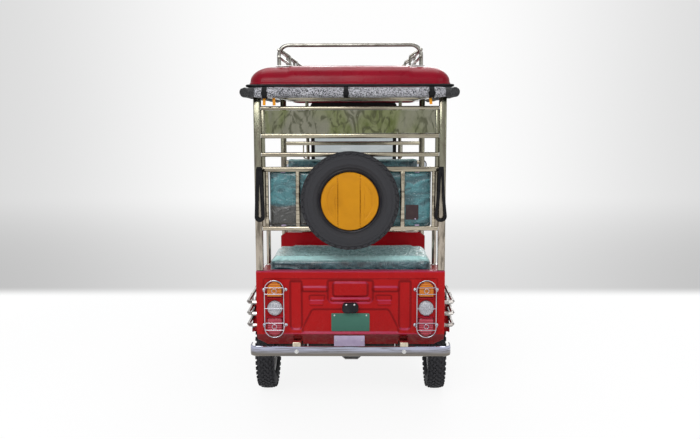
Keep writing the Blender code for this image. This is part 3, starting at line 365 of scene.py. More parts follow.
    def move(self, place: Matrix) -> "Shape":
        """Turn and move everything by a matrix."""
        bmesh.ops.transform(self.form, matrix=place, verts=self.form.verts)
        return self

    def tidy(self) -> "Shape":
        """Merge doubles and turn every face outwards."""
        bmesh.ops.remove_doubles(self.form, verts=self.form.verts, dist=0.000002)
        bmesh.ops.recalc_face_normals(self.form, faces=self.form.faces)
        return self

    def thicken(self, wall: float) -> "Shape":
        """Give an open sheet a wall on its inner side, or on its outer side for a negative wall."""
        bmesh.ops.recalc_face_normals(self.form, faces=self.form.faces)
        self.form.normal_update()
        made = bmesh.ops.extrude_face_region(self.form, geom=self.form.faces[:], use_keep_orig=True)["geom"]
        for vert in (item for item in made if isinstance(item, bmesh.types.BMVert)):
            vert.co -= vert.normal * wall
        bmesh.ops.recalc_face_normals(self.form, faces=self.form.faces)
        return self

    def bevel(self, width: float, segments: int = 2, angle: float = 30.0) -> "Shape":
        """Round the edges that are sharper than an angle in degrees."""
        limit = math.radians(angle)
        sharp = [edge for edge in self.form.edges
                 if len(edge.link_faces) == 2 and edge.calc_face_angle(0.0) > limit]
        bmesh.ops.bevel(self.form, geom=sharp, offset=width, segments=segments, profile=0.5, affect="EDGES",
                        material=-1, clamp_overlap=True)
        return self

    def join(self, *others: "Shape") -> "Shape":
        """Take in other shapes, which are used up."""
        for other in others:
            carrier = bpy.data.meshes.new("carrier")
            other.form.to_mesh(carrier)
            other.form.free()
            self.form.from_mesh(carrier)
            bpy.data.meshes.remove(carrier)
        return self

    def copy(self) -> "Shape":
        """Return a second shape with the same mesh."""
        twin = Shape()
        twin.form.free()
        twin.form = self.form.copy()
        return twin

    def mirrored(self) -> "Shape":
        """Return a copy on the other side of the middle plane."""
        twin = self.copy().move(Matrix.Scale(-1, 4, Vector((1, 0, 0))))
        bmesh.ops.reverse_faces(twin.form, faces=twin.form.faces)
        return twin

    def cut(self, spot: Point, normal: Point) -> "Shape":
        """Add edges where a plane passes through the shape."""
        bmesh.ops.bisect_plane(self.form, geom=self.form.verts[:] + self.form.edges[:] + self.form.faces[:],
                               plane_co=spot, plane_no=normal)
        return self

    def displaced(self, shift: Callable[[Vector], Vector]) -> "Shape":
        """Move every point by what a function of its place returns."""
        for vert in self.form.verts:
            vert.co += shift(vert.co)
        return self

    def piece(self, name: str, finish: "Finish", body: Body = Body.CHASSIS, replaces: Iterable[str] = (),
              sharp: float = 38.0) -> bpy.types.Object:
        """Make the finished object out of this shape.

        Args:
            name: Name of the piece.
            finish: Its finish.
            body: Body that it moves with.
            replaces: Solids that it stands for.
            sharp: Angle in degrees past which an edge stays sharp.

        Returns:
            The new object, at the origin.
        """
        mesh = bpy.data.meshes.new(name)
        self.form.to_mesh(mesh)
        self.form.free()
        return hang_mesh(name, mesh, finish, body, replaces, sharp)


def hang_mesh(name: str, mesh: bpy.types.Mesh, finish: "Finish", body: Body, replaces: Iterable[str] = (),
              sharp: float = 38.0) -> bpy.types.Object:
    """Put a mesh in the scene as a piece with its finish, body and slot.

    Args:
        name: Name of the piece.
        mesh: Its mesh, in the part's frame.
        finish: Its finish.
        body: Body that it moves with.
        replaces: Solids that it stands for.
        sharp: Angle in degrees past which an edge stays sharp.

    Returns:
        The new object.
    """
    mesh.shade_smooth()
    mesh.set_sharp_from_angle(angle=math.radians(sharp))
    mesh.materials.clear()
    mesh.materials.append(finish.material())
    piece = bpy.data.objects.new(name, mesh)
    bpy.context.scene.collection.objects.link(piece)
    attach(piece, body.value)
    for node in replaces:
        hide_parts(node)
    log.info("%s: %d faces on %s", name, len(mesh.polygons), body.value)
    return piece


def path_places(path: Sequence[Vector], closed: bool) -> list[Matrix]:
    """Places along a path, each turned as little as possible from the one before.

    Args:
        path: Points of the path.
        closed: Whether the path is a ring.

    Returns:
        One matrix for each point, and the first once more for a ring.
    """
    points = [Vector(point) for point in path]
    count = len(points)
    places = []
    normal: Vector | None = None
    for index, point in enumerate(points):
        before = points[index - 1] if closed or index else point
        after = points[(index + 1) % count] if closed or index < count - 1 else point
        along = (after - before).normalized()
        if normal is None:
            guide = Vector((0, 0, 1)) if abs(along.z) < 0.8 else Vector((0, 1, 0))
            normal = guide.cross(along).normalized()
        normal = (normal - along * normal.dot(along)).normalized()
        turn = Matrix((normal, along.cross(normal), along)).transposed().to_4x4()
        places.append(Matrix.Translation(point) @ turn)
    return places + places[:1] if closed else places


def hexagon_bolt(centre: Point, axis: Axis, out: int, radius: float = 0.006, tall: float = 0.004) -> Shape:
    """Make a hexagon bolt head on a thin washer.

    Args:
        centre: Point on the surface under the washer.
        axis: Axis of the bolt.
        out: Sign of the direction in which the head stands out.
        radius: Radius of the head.
        tall: Height of the head.

    Returns:
        The bolt's head.
    """
    place = Matrix.Translation(centre) @ axis.turn
    washer = Shape.rod((0, 0, -0.001 * out), (0, 0, 0.0012 * out), radius * 1.45, sides=20)
    head = Shape.rod((0, 0, 0.001 * out), (0, 0, (tall + 0.001) * out), radius, sides=6, bevel=0.0006)
    return washer.join(head).move(place).tidy()


def round_screw(centre: Point, axis: Axis, radius: float = 0.005) -> Shape:
    """Make a round screw head whose widest part lies in the surface."""
    dome = Shape.ball((0, 0, 0), radius, (1, 1, 0.45), 14)
    return dome.move(Matrix.Translation(centre) @ axis.turn).tidy()


class Board:
    """Small builder for one material's nodes."""

    RIDGE_OFFSET = 1.0
    RIDGE_GAIN = 1.5

    def __init__(self, name: str) -> None:
        """Start a material with its main shader."""
        self.material = bpy.data.materials.new(name)
        self.material.use_nodes = True
        self.tree = self.material.node_tree
        self.shader = self.tree.nodes["Principled BSDF"]

    def add(self, kind: str, inputs: dict[str, object] | None = None, **settings: object) -> bpy.types.Node:
        """Add a node.

        Args:
            kind: Type of the node.
            inputs: Values or sockets for its inputs, by name.
            settings: Properties of the node.

        Returns:
            The new node.
        """
        made = self.tree.nodes.new(kind)
        for key, value in settings.items():
            setattr(made, key, value)
        for key, value in (inputs or {}).items():
            self.feed(made.inputs[key], value)
        return made

    def feed(self, target: Socket, value: object) -> None:
        """Link a socket to an input, or set the input to a plain value."""
        if isinstance(value, bpy.types.NodeSocket):
            self.tree.links.new(value, target)
        elif isinstance(value, tuple) and len(value) == 3 and target.type == "RGBA":
            target.default_value = (*value, 1.0)
        else:
            target.default_value = value

    def surface(self, **values: object) -> None:
        """Set or link inputs of the main shader, with underscores for the blanks in their names."""
        for key, value in values.items():
            self.feed(self.shader.inputs[key.replace("_", " ")], value)

    def place(self, scale: Point = (1, 1, 1), turn: Point = (0, 0, 0)) -> Socket:
        """Object coordinates, scaled and turned."""
        source = self.add("ShaderNodeTexCoord").outputs["Object"]
        if scale == (1, 1, 1) and turn == (0, 0, 0):
            return source
        return self.add("ShaderNodeMapping", {"Vector": source, "Scale": scale,
                                              "Rotation": turn}).outputs["Vector"]

    def height(self) -> Socket:
        """Height above the ground."""
        return self.add("ShaderNodeSeparateXYZ", {"Vector": self.place()}).outputs["Z"]

    def noise(self, scale: float, detail: float = 3.0, rough: float = 0.5, stretch: Point = (1, 1, 1),
              kind: str = "FBM", warp: float = 0.0, turn: Point = (0, 0, 0)) -> Socket:
        """Value of a noise over the surface.

        Args:
            scale: Cells in a metre.
            detail: Number of finer layers.
            rough: Share of the finer layers.
            stretch: Scale along each axis.
            kind: Kind of noise.
            warp: How much the noise twists itself.
            turn: Turn of the pattern, in radians.

        Returns:
            The noise's value socket.
        """
        made = self.add("ShaderNodeTexNoise", {"Vector": self.place(stretch, turn), "Scale": scale,
                                               "Detail": detail, "Roughness": rough, "Distortion": warp},
                        noise_type=kind)
        if kind != "FBM":
            made.inputs["Offset"].default_value = self.RIDGE_OFFSET
            made.inputs["Gain"].default_value = self.RIDGE_GAIN
        return made.outputs["Fac"]

    def lie(self) -> Socket:
        """How far the surface faces up, from -1 to 1."""
        normal = self.add("ShaderNodeTexCoord").outputs["Normal"]
        return self.add("ShaderNodeSeparateXYZ", {"Vector": normal}).outputs["Z"]

    def lean(self) -> Socket:
        """How far the surface faces sideways, from 0 to 1."""
        normal = self.add("ShaderNodeTexCoord").outputs["Normal"]
        side = self.add("ShaderNodeSeparateXYZ", {"Vector": normal}).outputs["X"]
        return self.sum("ABSOLUTE", side, 0.0)

    def cells(self, scale: float, output: str = "Distance", feature: str = "F1",
              stretch: Point = (1, 1, 1)) -> Socket:
        """Value of a cell pattern over the surface."""
        made = self.add("ShaderNodeTexVoronoi", {"Vector": self.place(stretch), "Scale": scale},
                        feature=feature)
        return made.outputs[output]

    def spread(self, value: Socket, low: float, high: float, to_low: float = 0.0,
               to_high: float = 1.0) -> Socket:
        """Map a range of values to another one, held at its ends."""
        made = self.add("ShaderNodeMapRange", {"Value": value, "From Min": low, "From Max": high,
                                               "To Min": to_low, "To Max": to_high},
                        interpolation_type="SMOOTHSTEP")
        return made.outputs["Result"]

    def sum(self, operation: str, first: object, second: object) -> Socket:
        """Work out one number from two."""
        made = self.add("ShaderNodeMath", operation=operation)
        self.feed(made.inputs[0], first)
        self.feed(made.inputs[1], second)
        return made.outputs["Value"]

    def mix(self, share: object, first: object, second: object) -> Socket:
        """Mix two colours by a share from 0 to 1."""
        made = self.add("ShaderNodeMix", data_type="RGBA")
        self.feed(made.inputs[0], share)
        self.feed(made.inputs[6], first)
        self.feed(made.inputs[7], second)
        return made.outputs[2]

    def bump(self, height: Socket, distance: float, strength: float = 1.0,
             under: Socket | None = None) -> Socket:
        """Surface normal with a relief.

        Args:
            height: Relief from 0 to 1.
            distance: Depth of the full relief in metres.
            strength: Share of the relief that is used.
            under: Normal of a relief below this one.

        Returns:
            The normal socket.
        """
        inputs: dict[str, object] = {"Height": height, "Distance": distance, "Strength": strength}
        if under is not None:
            inputs["Normal"] = under
        return self.add("ShaderNodeBump", inputs).outputs["Normal"]


@dataclass(frozen=True)
class Finish:
    """A finish with the record's slot that it belongs to."""

    name: str
    slot: str

    def material(self) -> bpy.types.Material:
        """Return the finish's material, made when it is first asked for."""
        found = bpy.data.materials.get(self.name)
        if found:
            return found
        board = Board(self.name)
        self.dress(board)
        return board.material

    def dress(self, board: Board) -> None:
        """Build the nodes of the finish."""
        raise NotImplementedError


@dataclass(frozen=True)
class GlossPaint(Finish):
    """Sprayed paint on sheet metal, with faint unevenness and road dust low down; where pressed is set,
    slopes that face down or sideways get painted shade and slopes that face up a painted purple reflection of
    the sky.
    """

    colour: Colour
    shade: Colour
    roughness: float = 0.30
    dust: Colour = (0.30, 0.22, 0.16)
    dust_top: float = 0.62
    # When set, slopes get painted light: painted shade where they face down or sideways, a painted sky
    # reflection where they face up
    pressed: bool = False

    def dress(self, board: Board) -> None:
        """Build the nodes of the paint."""
        cloud = board.spread(board.noise(2.6, 4.0, 0.55), 0.35, 0.70)
        paint = board.mix(cloud, self.colour, self.shade)
        low = board.spread(board.height(), self.dust_top, 0.30)
        specks = board.spread(board.noise(38.0, 5.0, 0.7), 0.42, 0.75)
        dust = board.sum("MULTIPLY", board.sum("MULTIPLY", low, specks), 0.22)
        # Painted light on the pressings: a purple painted reflection on slopes that face up, painted shade on
        # slopes that face down and on slopes that face sideways
        if self.pressed:
            lie = board.lie()
            paint = board.mix(board.spread(lie, 0.05, 0.40, 0.0, 0.55), paint, (0.40, 0.045, 0.130))
            paint = board.mix(board.spread(lie, -0.05, -0.35, 0.0, 0.60), paint, (0.110, 0.001, 0.003))
            paint = board.mix(board.spread(board.lean(), 0.06, 0.35, 0.0, 0.65), paint, (0.150, 0.001, 0.003))
        board.surface(Base_Color=board.mix(dust, paint, self.dust),
                      Roughness=board.spread(board.noise(9.0, 4.0, 0.6), 0.3, 0.75, self.roughness - 0.06,
                                             self.roughness + 0.12),
                      Normal=board.bump(board.noise(60.0, 2.0), 0.0001, 0.5))
        board.surface(Specular_IOR_Level=0.10, Coat_Weight=0.05, Coat_Roughness=0.12)


@dataclass(frozen=True)
class PolishedSteel(Finish):
    """Polished stainless tube with painted reflections: trees on its upper part, ground on its lower part,
    streaks and, where set, pools; with fine scratches.
    """

    upper_reflection: Colour
    lower_reflection: Colour
    reflection_streak: Colour
    stretch: Point = (3.0, 3.0, 0.5)
    roughness: float = 0.16
    wave: float = 0.0
    turn_low: float = 0.85
    turn_high: float = 1.45
    reflection_pools: bool = False

    def dress(self, board: Board) -> None:
        """Build the nodes of the steel."""
        # Painted reflection: the lower colour low down and the upper colour high up, standing in for ground
        # below and trees above
        tone = board.mix(board.spread(board.height(), self.turn_low, self.turn_high), self.lower_reflection, self.upper_reflection)
        lines = board.spread(board.noise(14.0, 5.0, 0.65, self.stretch, warp=0.4), 0.42, 0.68)
        fine = board.noise(160.0, 3.0, 0.6, self.stretch)
        # Painted reflection streaks along the steel
        tone = board.mix(lines, tone, self.reflection_streak)
        if self.reflection_pools:
            # Painted reflections on the mirror sheet: grey patches, dark green pools of trees and pale bright
            # pools
            reflection_pool_share = board.noise(7.0, 3.0, 0.5, (1.6, 1.0, 1.0), "RIDGED_MULTIFRACTAL", 1.6)
            grey = board.noise(4.0, 2.0, 0.5, (1.4, 1.0, 0.5), warp=0.8)
            tone = board.mix(board.spread(grey, 0.44, 0.62, 0.0, 0.60), tone, (0.25, 0.235, 0.215))
            tone = board.mix(board.spread(reflection_pool_share, 1.15, 1.60, 0.0, 0.70), tone, (0.055, 0.058, 0.030))
            tone = board.mix(board.spread(reflection_pool_share, 1.72, 1.95, 0.0, 0.65), tone, (0.62, 0.62, 0.55))
        board.surface(Base_Color=tone, Metallic=1.0,
                      Roughness=board.spread(fine, 0.3, 0.7, self.roughness - 0.06, self.roughness + 0.10))
        relief = board.bump(fine, 0.00006, 0.5)
        if self.wave:
            relief = board.bump(board.noise(5.0, 2.0, 0.5), self.wave, 1.0, relief)
        board.surface(Normal=relief)


@dataclass(frozen=True)
class PlainMetal(Finish):
    """Plated or painted metal with soft blotches and a fine grain; where crease is set, slopes that face
    sideways get painted shade.
    """

    colour: Colour
    blotch: Colour
    metallic: float = 1.0
    roughness: float = 0.3
    grain: float = 0.0001
    blotch_scale: float = 12.0
    # Share of painted shade on slopes that face sideways
    crease: float = 0.0

    def dress(self, board: Board) -> None:
        """Build the nodes of the metal."""
        patches = board.spread(board.noise(self.blotch_scale, 5.0, 0.6), 0.40, 0.72)
        tone = board.mix(patches, self.colour, self.blotch)
        # Painted shade on slopes that face sideways, in dark yellow-brown
        if self.crease:
            tone = board.mix(board.spread(board.lean(), 0.22, 0.60, 0.0, self.crease), tone,
                             (0.20, 0.07, 0.002))
        board.surface(Base_Color=tone, Metallic=self.metallic,
                      Roughness=board.spread(board.noise(45.0, 4.0), 0.3, 0.7, self.roughness * 0.7,
                                             self.roughness * 1.4),
                      Normal=board.bump(board.noise(320.0, 3.0), self.grain, 0.6))
        board.surface(Specular_IOR_Level=0.5 if self.metallic > 0.5 else 0.2)


@dataclass(frozen=True)
class TyreRubber(Finish):
    """Matt rubber with a bloom, and dust in the low places."""

    colour: Colour = (0.005, 0.006, 0.009)
    bloom: Colour = (0.013, 0.014, 0.019)
    dust: Colour = (0.050, 0.046, 0.040)

    def dress(self, board: Board) -> None:
        """Build the nodes of the rubber."""
        haze = board.spread(board.noise(11.0, 4.0, 0.6), 0.35, 0.72)
        specks = board.sum("MULTIPLY", board.spread(board.noise(120.0, 4.0, 0.7), 0.55, 0.72), 0.35)
        tone = board.mix(haze, self.colour, self.bloom)
        board.surface(Base_Color=board.mix(specks, tone, self.dust),
                      Roughness=board.spread(board.noise(30.0, 3.0), 0.3, 0.7, 0.36, 0.56),
                      Normal=board.bump(board.noise(420.0, 3.0, 0.6), 0.0002, 0.5))
        board.surface(Specular_IOR_Level=0.07)


@dataclass(frozen=True)
class Moulded(Finish):
    """Moulded plastic or rubber with a fine grain and rubbed patches."""

    colour: Colour
    rubbed: Colour
    roughness: float = 0.45
    grain_scale: float = 600.0
    grain: float = 0.0002

    def dress(self, board: Board) -> None:
        """Build the nodes of the plastic."""
        patches = board.spread(board.noise(16.0, 4.0, 0.6), 0.45, 0.75)
        board.surface(Base_Color=board.mix(patches, self.colour, self.rubbed),
                      Roughness=board.spread(board.noise(28.0, 4.0), 0.3, 0.7, self.roughness - 0.1,
                                             self.roughness + 0.12),
                      Normal=board.bump(board.cells(self.grain_scale), self.grain, 0.5))
        board.surface(Specular_IOR_Level=0.14)


@dataclass(frozen=True)
class WrappedVinyl(Finish):
    """Coated seat fabric under clear wrapping film, with painted highlights along its creases, a painted
    highlight on faces that look up, and painted light and shade over its folds.
    """

    # Colours over the long folds, painted light and shade: the first on fold ridges, the second between them
    top: Colour = (0.045, 0.115, 0.135)
    deep: Colour = (0.010, 0.030, 0.042)
    # Colour of the painted highlights along the creases
    film: Colour = (0.55, 0.66, 0.68)
    crease_turn: Point = (0.0, 0.0, 0.5)
    crease: float = 0.0045
    shadow_top: float = 0.0
    shadow: Colour = (0.045, 0.045, 0.042)

    def dress(self, board: Board) -> None:
        """Build the nodes of the vinyl and its film."""
        long_folds = board.noise(7.0, 3.0, 0.5, (1.0, 2.2, 2.2), "RIDGED_MULTIFRACTAL", 0.8, self.crease_turn)
        short_folds = board.noise(24.0, 4.0, 0.55, (1.6, 1.0, 1.2), "RIDGED_MULTIFRACTAL", 0.6,
                                  self.crease_turn)
        weave = board.cells(500.0)
        # Painted light and shade over the long folds: lighter on their ridges, darker between them
        tone = board.mix(board.spread(long_folds, 0.55, 1.65), self.deep, self.top)
        # Painted highlight: faces that look up are mixed towards a pale teal
        tone = board.mix(board.spread(board.lie(), 0.30, 0.80, 0.0, 0.85), tone, (0.58, 0.95, 0.93))
        if self.shadow_top:
            edge = board.sum("ADD", board.height(), board.sum("MULTIPLY", board.noise(6.0, 3.0), 0.10))
            across = board.add("ShaderNodeSeparateXYZ", {"Vector": board.place()}).outputs["X"]
            share = board.sum("MULTIPLY", board.spread(edge, self.shadow_top + 0.060,
                                                       self.shadow_top + 0.045),
                              board.spread(across, -0.16, -0.20))
            tone = board.mix(share, tone, self.shadow)
        # Painted highlights along the short creases, in the film colour
        colour = board.mix(board.spread(short_folds, 1.86, 2.06, 0.0, 0.75), tone, self.film)
        relief = board.bump(weave, 0.00004, 0.3)
        relief = board.bump(short_folds, self.crease * 0.5, 0.6, relief)
        relief = board.bump(long_folds, self.crease, 0.7, relief)
        board.surface(Base_Color=colour, Roughness=board.spread(short_folds, 0.6, 1.9, 0.34, 0.16),
                      Normal=relief)
        board.surface(Coat_Weight=0.45, Coat_Roughness=0.10)


@dataclass(frozen=True)
class SpeckledCloth(Finish):
    """Woven curtain cloth in light and dark threads."""

    light: Colour = (0.52, 0.52, 0.56)
    dark: Colour = (0.030, 0.030, 0.036)
    scale: float = 260.0

    def dress(self, board: Board) -> None:
        """Build the nodes of the cloth."""
        threads = board.spread(board.cells(self.scale, "Color", stretch=(1.0, 1.3, 1.3)), 0.35, 0.66)
        worn = board.sum("MULTIPLY", board.spread(board.noise(9.0, 4.0), 0.4, 0.7), 0.30)
        tone = board.mix(threads, self.light, self.dark)
        board.surface(Base_Color=board.mix(worn, tone, self.dark),
                      Roughness=board.spread(board.noise(40.0), 0.3, 0.7, 0.65, 0.85),
                      Normal=board.bump(threads, 0.0009, 0.8))
        board.surface(Sheen_Weight=0.15, Sheen_Roughness=0.5)


class LensPattern(Enum):
    """Relief on the inside of a lamp's lens."""

    RIBS = "ribs"
    FACETS = "facets"


@dataclass(frozen=True)
class LampLens(Finish):
    """Coloured lens over a bright reflector, with the relief pressed into it."""

    colour: Colour
    deep: Colour
    pattern: LensPattern = LensPattern.RIBS
    scale: float = 95.0

    def dress(self, board: Board) -> None:
        """Build the nodes of the lens."""
        if self.pattern is LensPattern.FACETS:
            relief = board.cells(self.scale * 1.5, "Distance", "DISTANCE_TO_EDGE")
            share = board.spread(relief, 0.0, 0.25)
        else:
            wave = board.add("ShaderNodeTexWave", {"Vector": board.place(), "Scale": self.scale / 3.0,
                                                   "Distortion": 0.3}, bands_direction="Z")
            relief = wave.outputs["Fac"]
            share = board.spread(relief, 0.1, 0.9)
        cloud = board.spread(board.noise(26.0, 3.0), 0.35, 0.7)
        tone = board.mix(share, self.deep, self.colour)
        board.surface(Base_Color=board.mix(board.sum("MULTIPLY", cloud, 0.3), tone, self.deep),
                      Roughness=board.spread(board.noise(60.0), 0.3, 0.7, 0.08, 0.16))
        board.surface(Specular_IOR_Level=0.3, Coat_Weight=0.35, Coat_Roughness=0.05, IOR=1.49)
        board.surface(Normal=board.bump(relief, 0.0008, 0.7))


@dataclass(frozen=True)
class WindowGlass(Finish):
    """Flat safety glass, a little smoky, with faint wiping marks."""

    colour: Colour = (0.42, 0.46, 0.47)

    def dress(self, board: Board) -> None:
        """Build the nodes of the glass."""
        marks = board.noise(8.0, 4.0, 0.6, (1.0, 1.0, 3.0))
        board.surface(Roughness=board.spread(marks, 0.35, 0.75, 0.01, 0.05),
                      Base_Color=board.mix(board.spread(marks, 0.4, 0.8), self.colour, (0.50, 0.53, 0.54)))
        board.surface(Transmission_Weight=1.0, IOR=1.02, Coat_Weight=0.4, Coat_Roughness=0.02)


@dataclass(frozen=True)
class TreadPlate(Finish):
    """Ribbed floor mat with dirt between its studs."""

    colour: Colour = (0.035, 0.035, 0.037)
    dirt: Colour = (0.17, 0.14, 0.11)

    def dress(self, board: Board) -> None:
        """Build the nodes of the mat."""
        studs = board.cells(48.0, stretch=(1, 1, 0.001))
        low = board.spread(studs, 0.30, 0.55)
        dirt = board.sum("MULTIPLY", low, board.spread(board.noise(7.0, 5.0, 0.6), 0.35, 0.75))
        board.surface(Base_Color=board.mix(board.sum("MULTIPLY", dirt, 0.6), self.colour, self.dirt),
                      Roughness=board.spread(board.noise(20.0), 0.3, 0.7, 0.55, 0.8),
                      Normal=board.bump(board.spread(studs, 0.45, 0.30), 0.0012, 0.8))


ROOF_PAINT = GlossPaint("roof_paint", "red_paint", (0.245, 0.002, 0.014), (0.185, 0.0015, 0.011),
                        dust_top=0.31)
# Tail paint with painted shade and painted reflection on the slopes of its pressings
TAIL_PAINT = GlossPaint("tail_paint", "red_paint", (0.42, 0.008, 0.009), (0.36, 0.006, 0.007), 0.30,
                        dust_top=0.50, pressed=True)
# Darker copy of the tail's red, for the lip and the slot covers: painted shade where the lip faces down
SHADED_LIP_PAINT = GlossPaint("lip_paint_painted_shade", "red_paint", (0.25, 0.002, 0.006), (0.17, 0.001, 0.004), 0.30)
BODY_PAINT = GlossPaint("body_paint", "red_paint", (0.40, 0.005, 0.010), (0.32, 0.003, 0.008), 0.30)
# Steel finishes: the first two colours are painted reflections, the first on the upper part and the second on
# the lower part, standing in for what is above and below; the third is the colour of painted reflection
# streaks
TUBE_STEEL = PolishedSteel("tube_steel", "steel", (0.20, 0.20, 0.145), (0.44, 0.385, 0.32),
                           (0.14, 0.12, 0.095))
CROSS_STEEL = PolishedSteel("cross_steel", "steel", (0.36, 0.33, 0.25), (0.52, 0.46, 0.36),
                            (0.20, 0.17, 0.13), (0.4, 3.0, 5.0))
# Mirror sheet: olive painted reflection of trees all over, with painted reflection pools
MIRROR_STEEL = PolishedSteel("mirror_steel", "steel", (0.185, 0.200, 0.105), (0.185, 0.200, 0.105),
                             (0.105, 0.125, 0.045), (1.6, 1.0, 0.7), 0.10, 0.006, reflection_pools=True)
RACK_STEEL = PolishedSteel("rack_steel", "steel", (0.30, 0.29, 0.265), (0.30, 0.28, 0.25), (0.15, 0.14, 0.12),
                           (1.0, 1.0, 1.0))
GUARD_STEEL = PolishedSteel("guard_steel", "steel", (0.44, 0.43, 0.41), (0.40, 0.38, 0.36),
                            (0.18, 0.15, 0.14), (0.6, 0.6, 2.0), 0.14)
# Bumper chrome: painted highlight in pale lilac on its upper part, painted reflection in warm grey on its
# lower part
BUMPER_CHROME = PolishedSteel("bumper_chrome", "chrome", (0.42, 0.44, 0.56), (0.20, 0.18, 0.155),
                              (0.15, 0.14, 0.13), (0.3, 2.0, 9.0), 0.12, turn_low=0.320, turn_high=0.352)
POST_STEEL = PolishedSteel("post_steel", "steel", (0.62, 0.56, 0.44), (0.62, 0.56, 0.44), (0.42, 0.37, 0.28))
CHROME = PlainMetal("bright_chrome", "chrome", (0.50, 0.52, 0.57), (0.34, 0.36, 0.42), 1.0, 0.10, 0.00003)
ZINC = PlainMetal("zinc_screws", "chrome", (0.66, 0.66, 0.66), (0.48, 0.48, 0.47), 0.9, 0.3)
FRAME_BLACK = PlainMetal("frame_black", "black_steel", (0.020, 0.020, 0.022), (0.075, 0.062, 0.050), 0.1,
                         0.45, 0.0002)
RIM_SILVER = PlainMetal("rim_silver", "rim_silver", (0.42, 0.42, 0.42), (0.30, 0.29, 0.28), 0.7, 0.35, 0.0001)
RIM_BLACK = PlainMetal("rim_black", "rim_silver", (0.014, 0.014, 0.018), (0.030, 0.029, 0.031), 0.1, 0.45,
                       0.0001)
SEAT_PATCH = Moulded("seat_patch", "teal_cover", (0.050, 0.032, 0.034), (0.075, 0.050, 0.050), 0.55)
LAMP_RUBBER = Moulded("lamp_rubber", "lamp_plastic", (0.060, 0.010, 0.012), (0.040, 0.010, 0.012), 0.55)
RUBBER = TyreRubber("tyre_rubber", "tyre_rubber")
BLACK_PLASTIC = Moulded("black_moulding", "black_plastic", (0.012, 0.012, 0.014), (0.030, 0.030, 0.033))
BLACK_RUBBER = Moulded("black_rubber", "black_plastic", (0.008, 0.008, 0.009), (0.022, 0.022, 0.024), 0.55,
                       400.0)
BLACK_WEBBING = Moulded("black_webbing", "black_plastic", (0.006, 0.006, 0.007), (0.016, 0.015, 0.016),
                        0.65, 750.0, 0.0006)
# Yellow cover with painted shade on its sideways slopes
YELLOW_COVER = PlainMetal("yellow_cover", "yellow_plastic", (0.56, 0.235, 0.004), (0.48, 0.195, 0.003),
                          0.0, 0.42, 0.0001, 7.0, 0.60)
GREEN_PLATE = PlainMetal("green_plate", "green_plate", (0.024, 0.078, 0.050), (0.020, 0.066, 0.044), 0.0,
                         0.55)
PALE_SIGN = PlainMetal("pale_sign", "pale_plate", (0.50, 0.42, 0.58), (0.42, 0.34, 0.50), 0.0, 0.35)
AMBER_TAG = Moulded("amber_tag", "amber_plastic", (0.75, 0.30, 0.02), (0.62, 0.24, 0.02), 0.5)
AMBER_LENS = LampLens("amber_lens", "amber_plastic", (0.80, 0.27, 0.004), (0.50, 0.10, 0.002))
RED_LENS = LampLens("red_lens", "lamp_plastic", (0.62, 0.075, 0.12), (0.25, 0.008, 0.020))
CLEAR_LENS = LampLens("clear_lens", "clear_glass", (0.66, 0.66, 0.70), (0.28, 0.29, 0.32), LensPattern.FACETS)
GLASS = WindowGlass("window_glass", "clear_glass")
SEAT_WRAP = WrappedVinyl("seat_wrap", "teal_cover")
BACK_WRAP = WrappedVinyl("back_wrap", "teal_cover", (0.060, 0.215, 0.240), (0.018, 0.075, 0.090),
                         crease_turn=(0.0, 1.1, 0.0), shadow_top=1.085)
INNER_WRAP = WrappedVinyl("inner_wrap", "teal_cover", (0.050, 0.150, 0.170), (0.014, 0.050, 0.062),
                          crease_turn=(0.0, 0.7, 0.0))
ROOF_LINING = Moulded("roof_lining", "red_paint", (0.22, 0.008, 0.014), (0.15, 0.006, 0.010), 0.5)
BLACK_CLOTH = SpeckledCloth("black_cloth", "black_plastic", (0.030, 0.030, 0.033), (0.008, 0.008, 0.009))
CURTAIN = SpeckledCloth("curtain_cloth", "grey_mesh")
FLOOR_MAT = TreadPlate("floor_mat", "black_plastic")


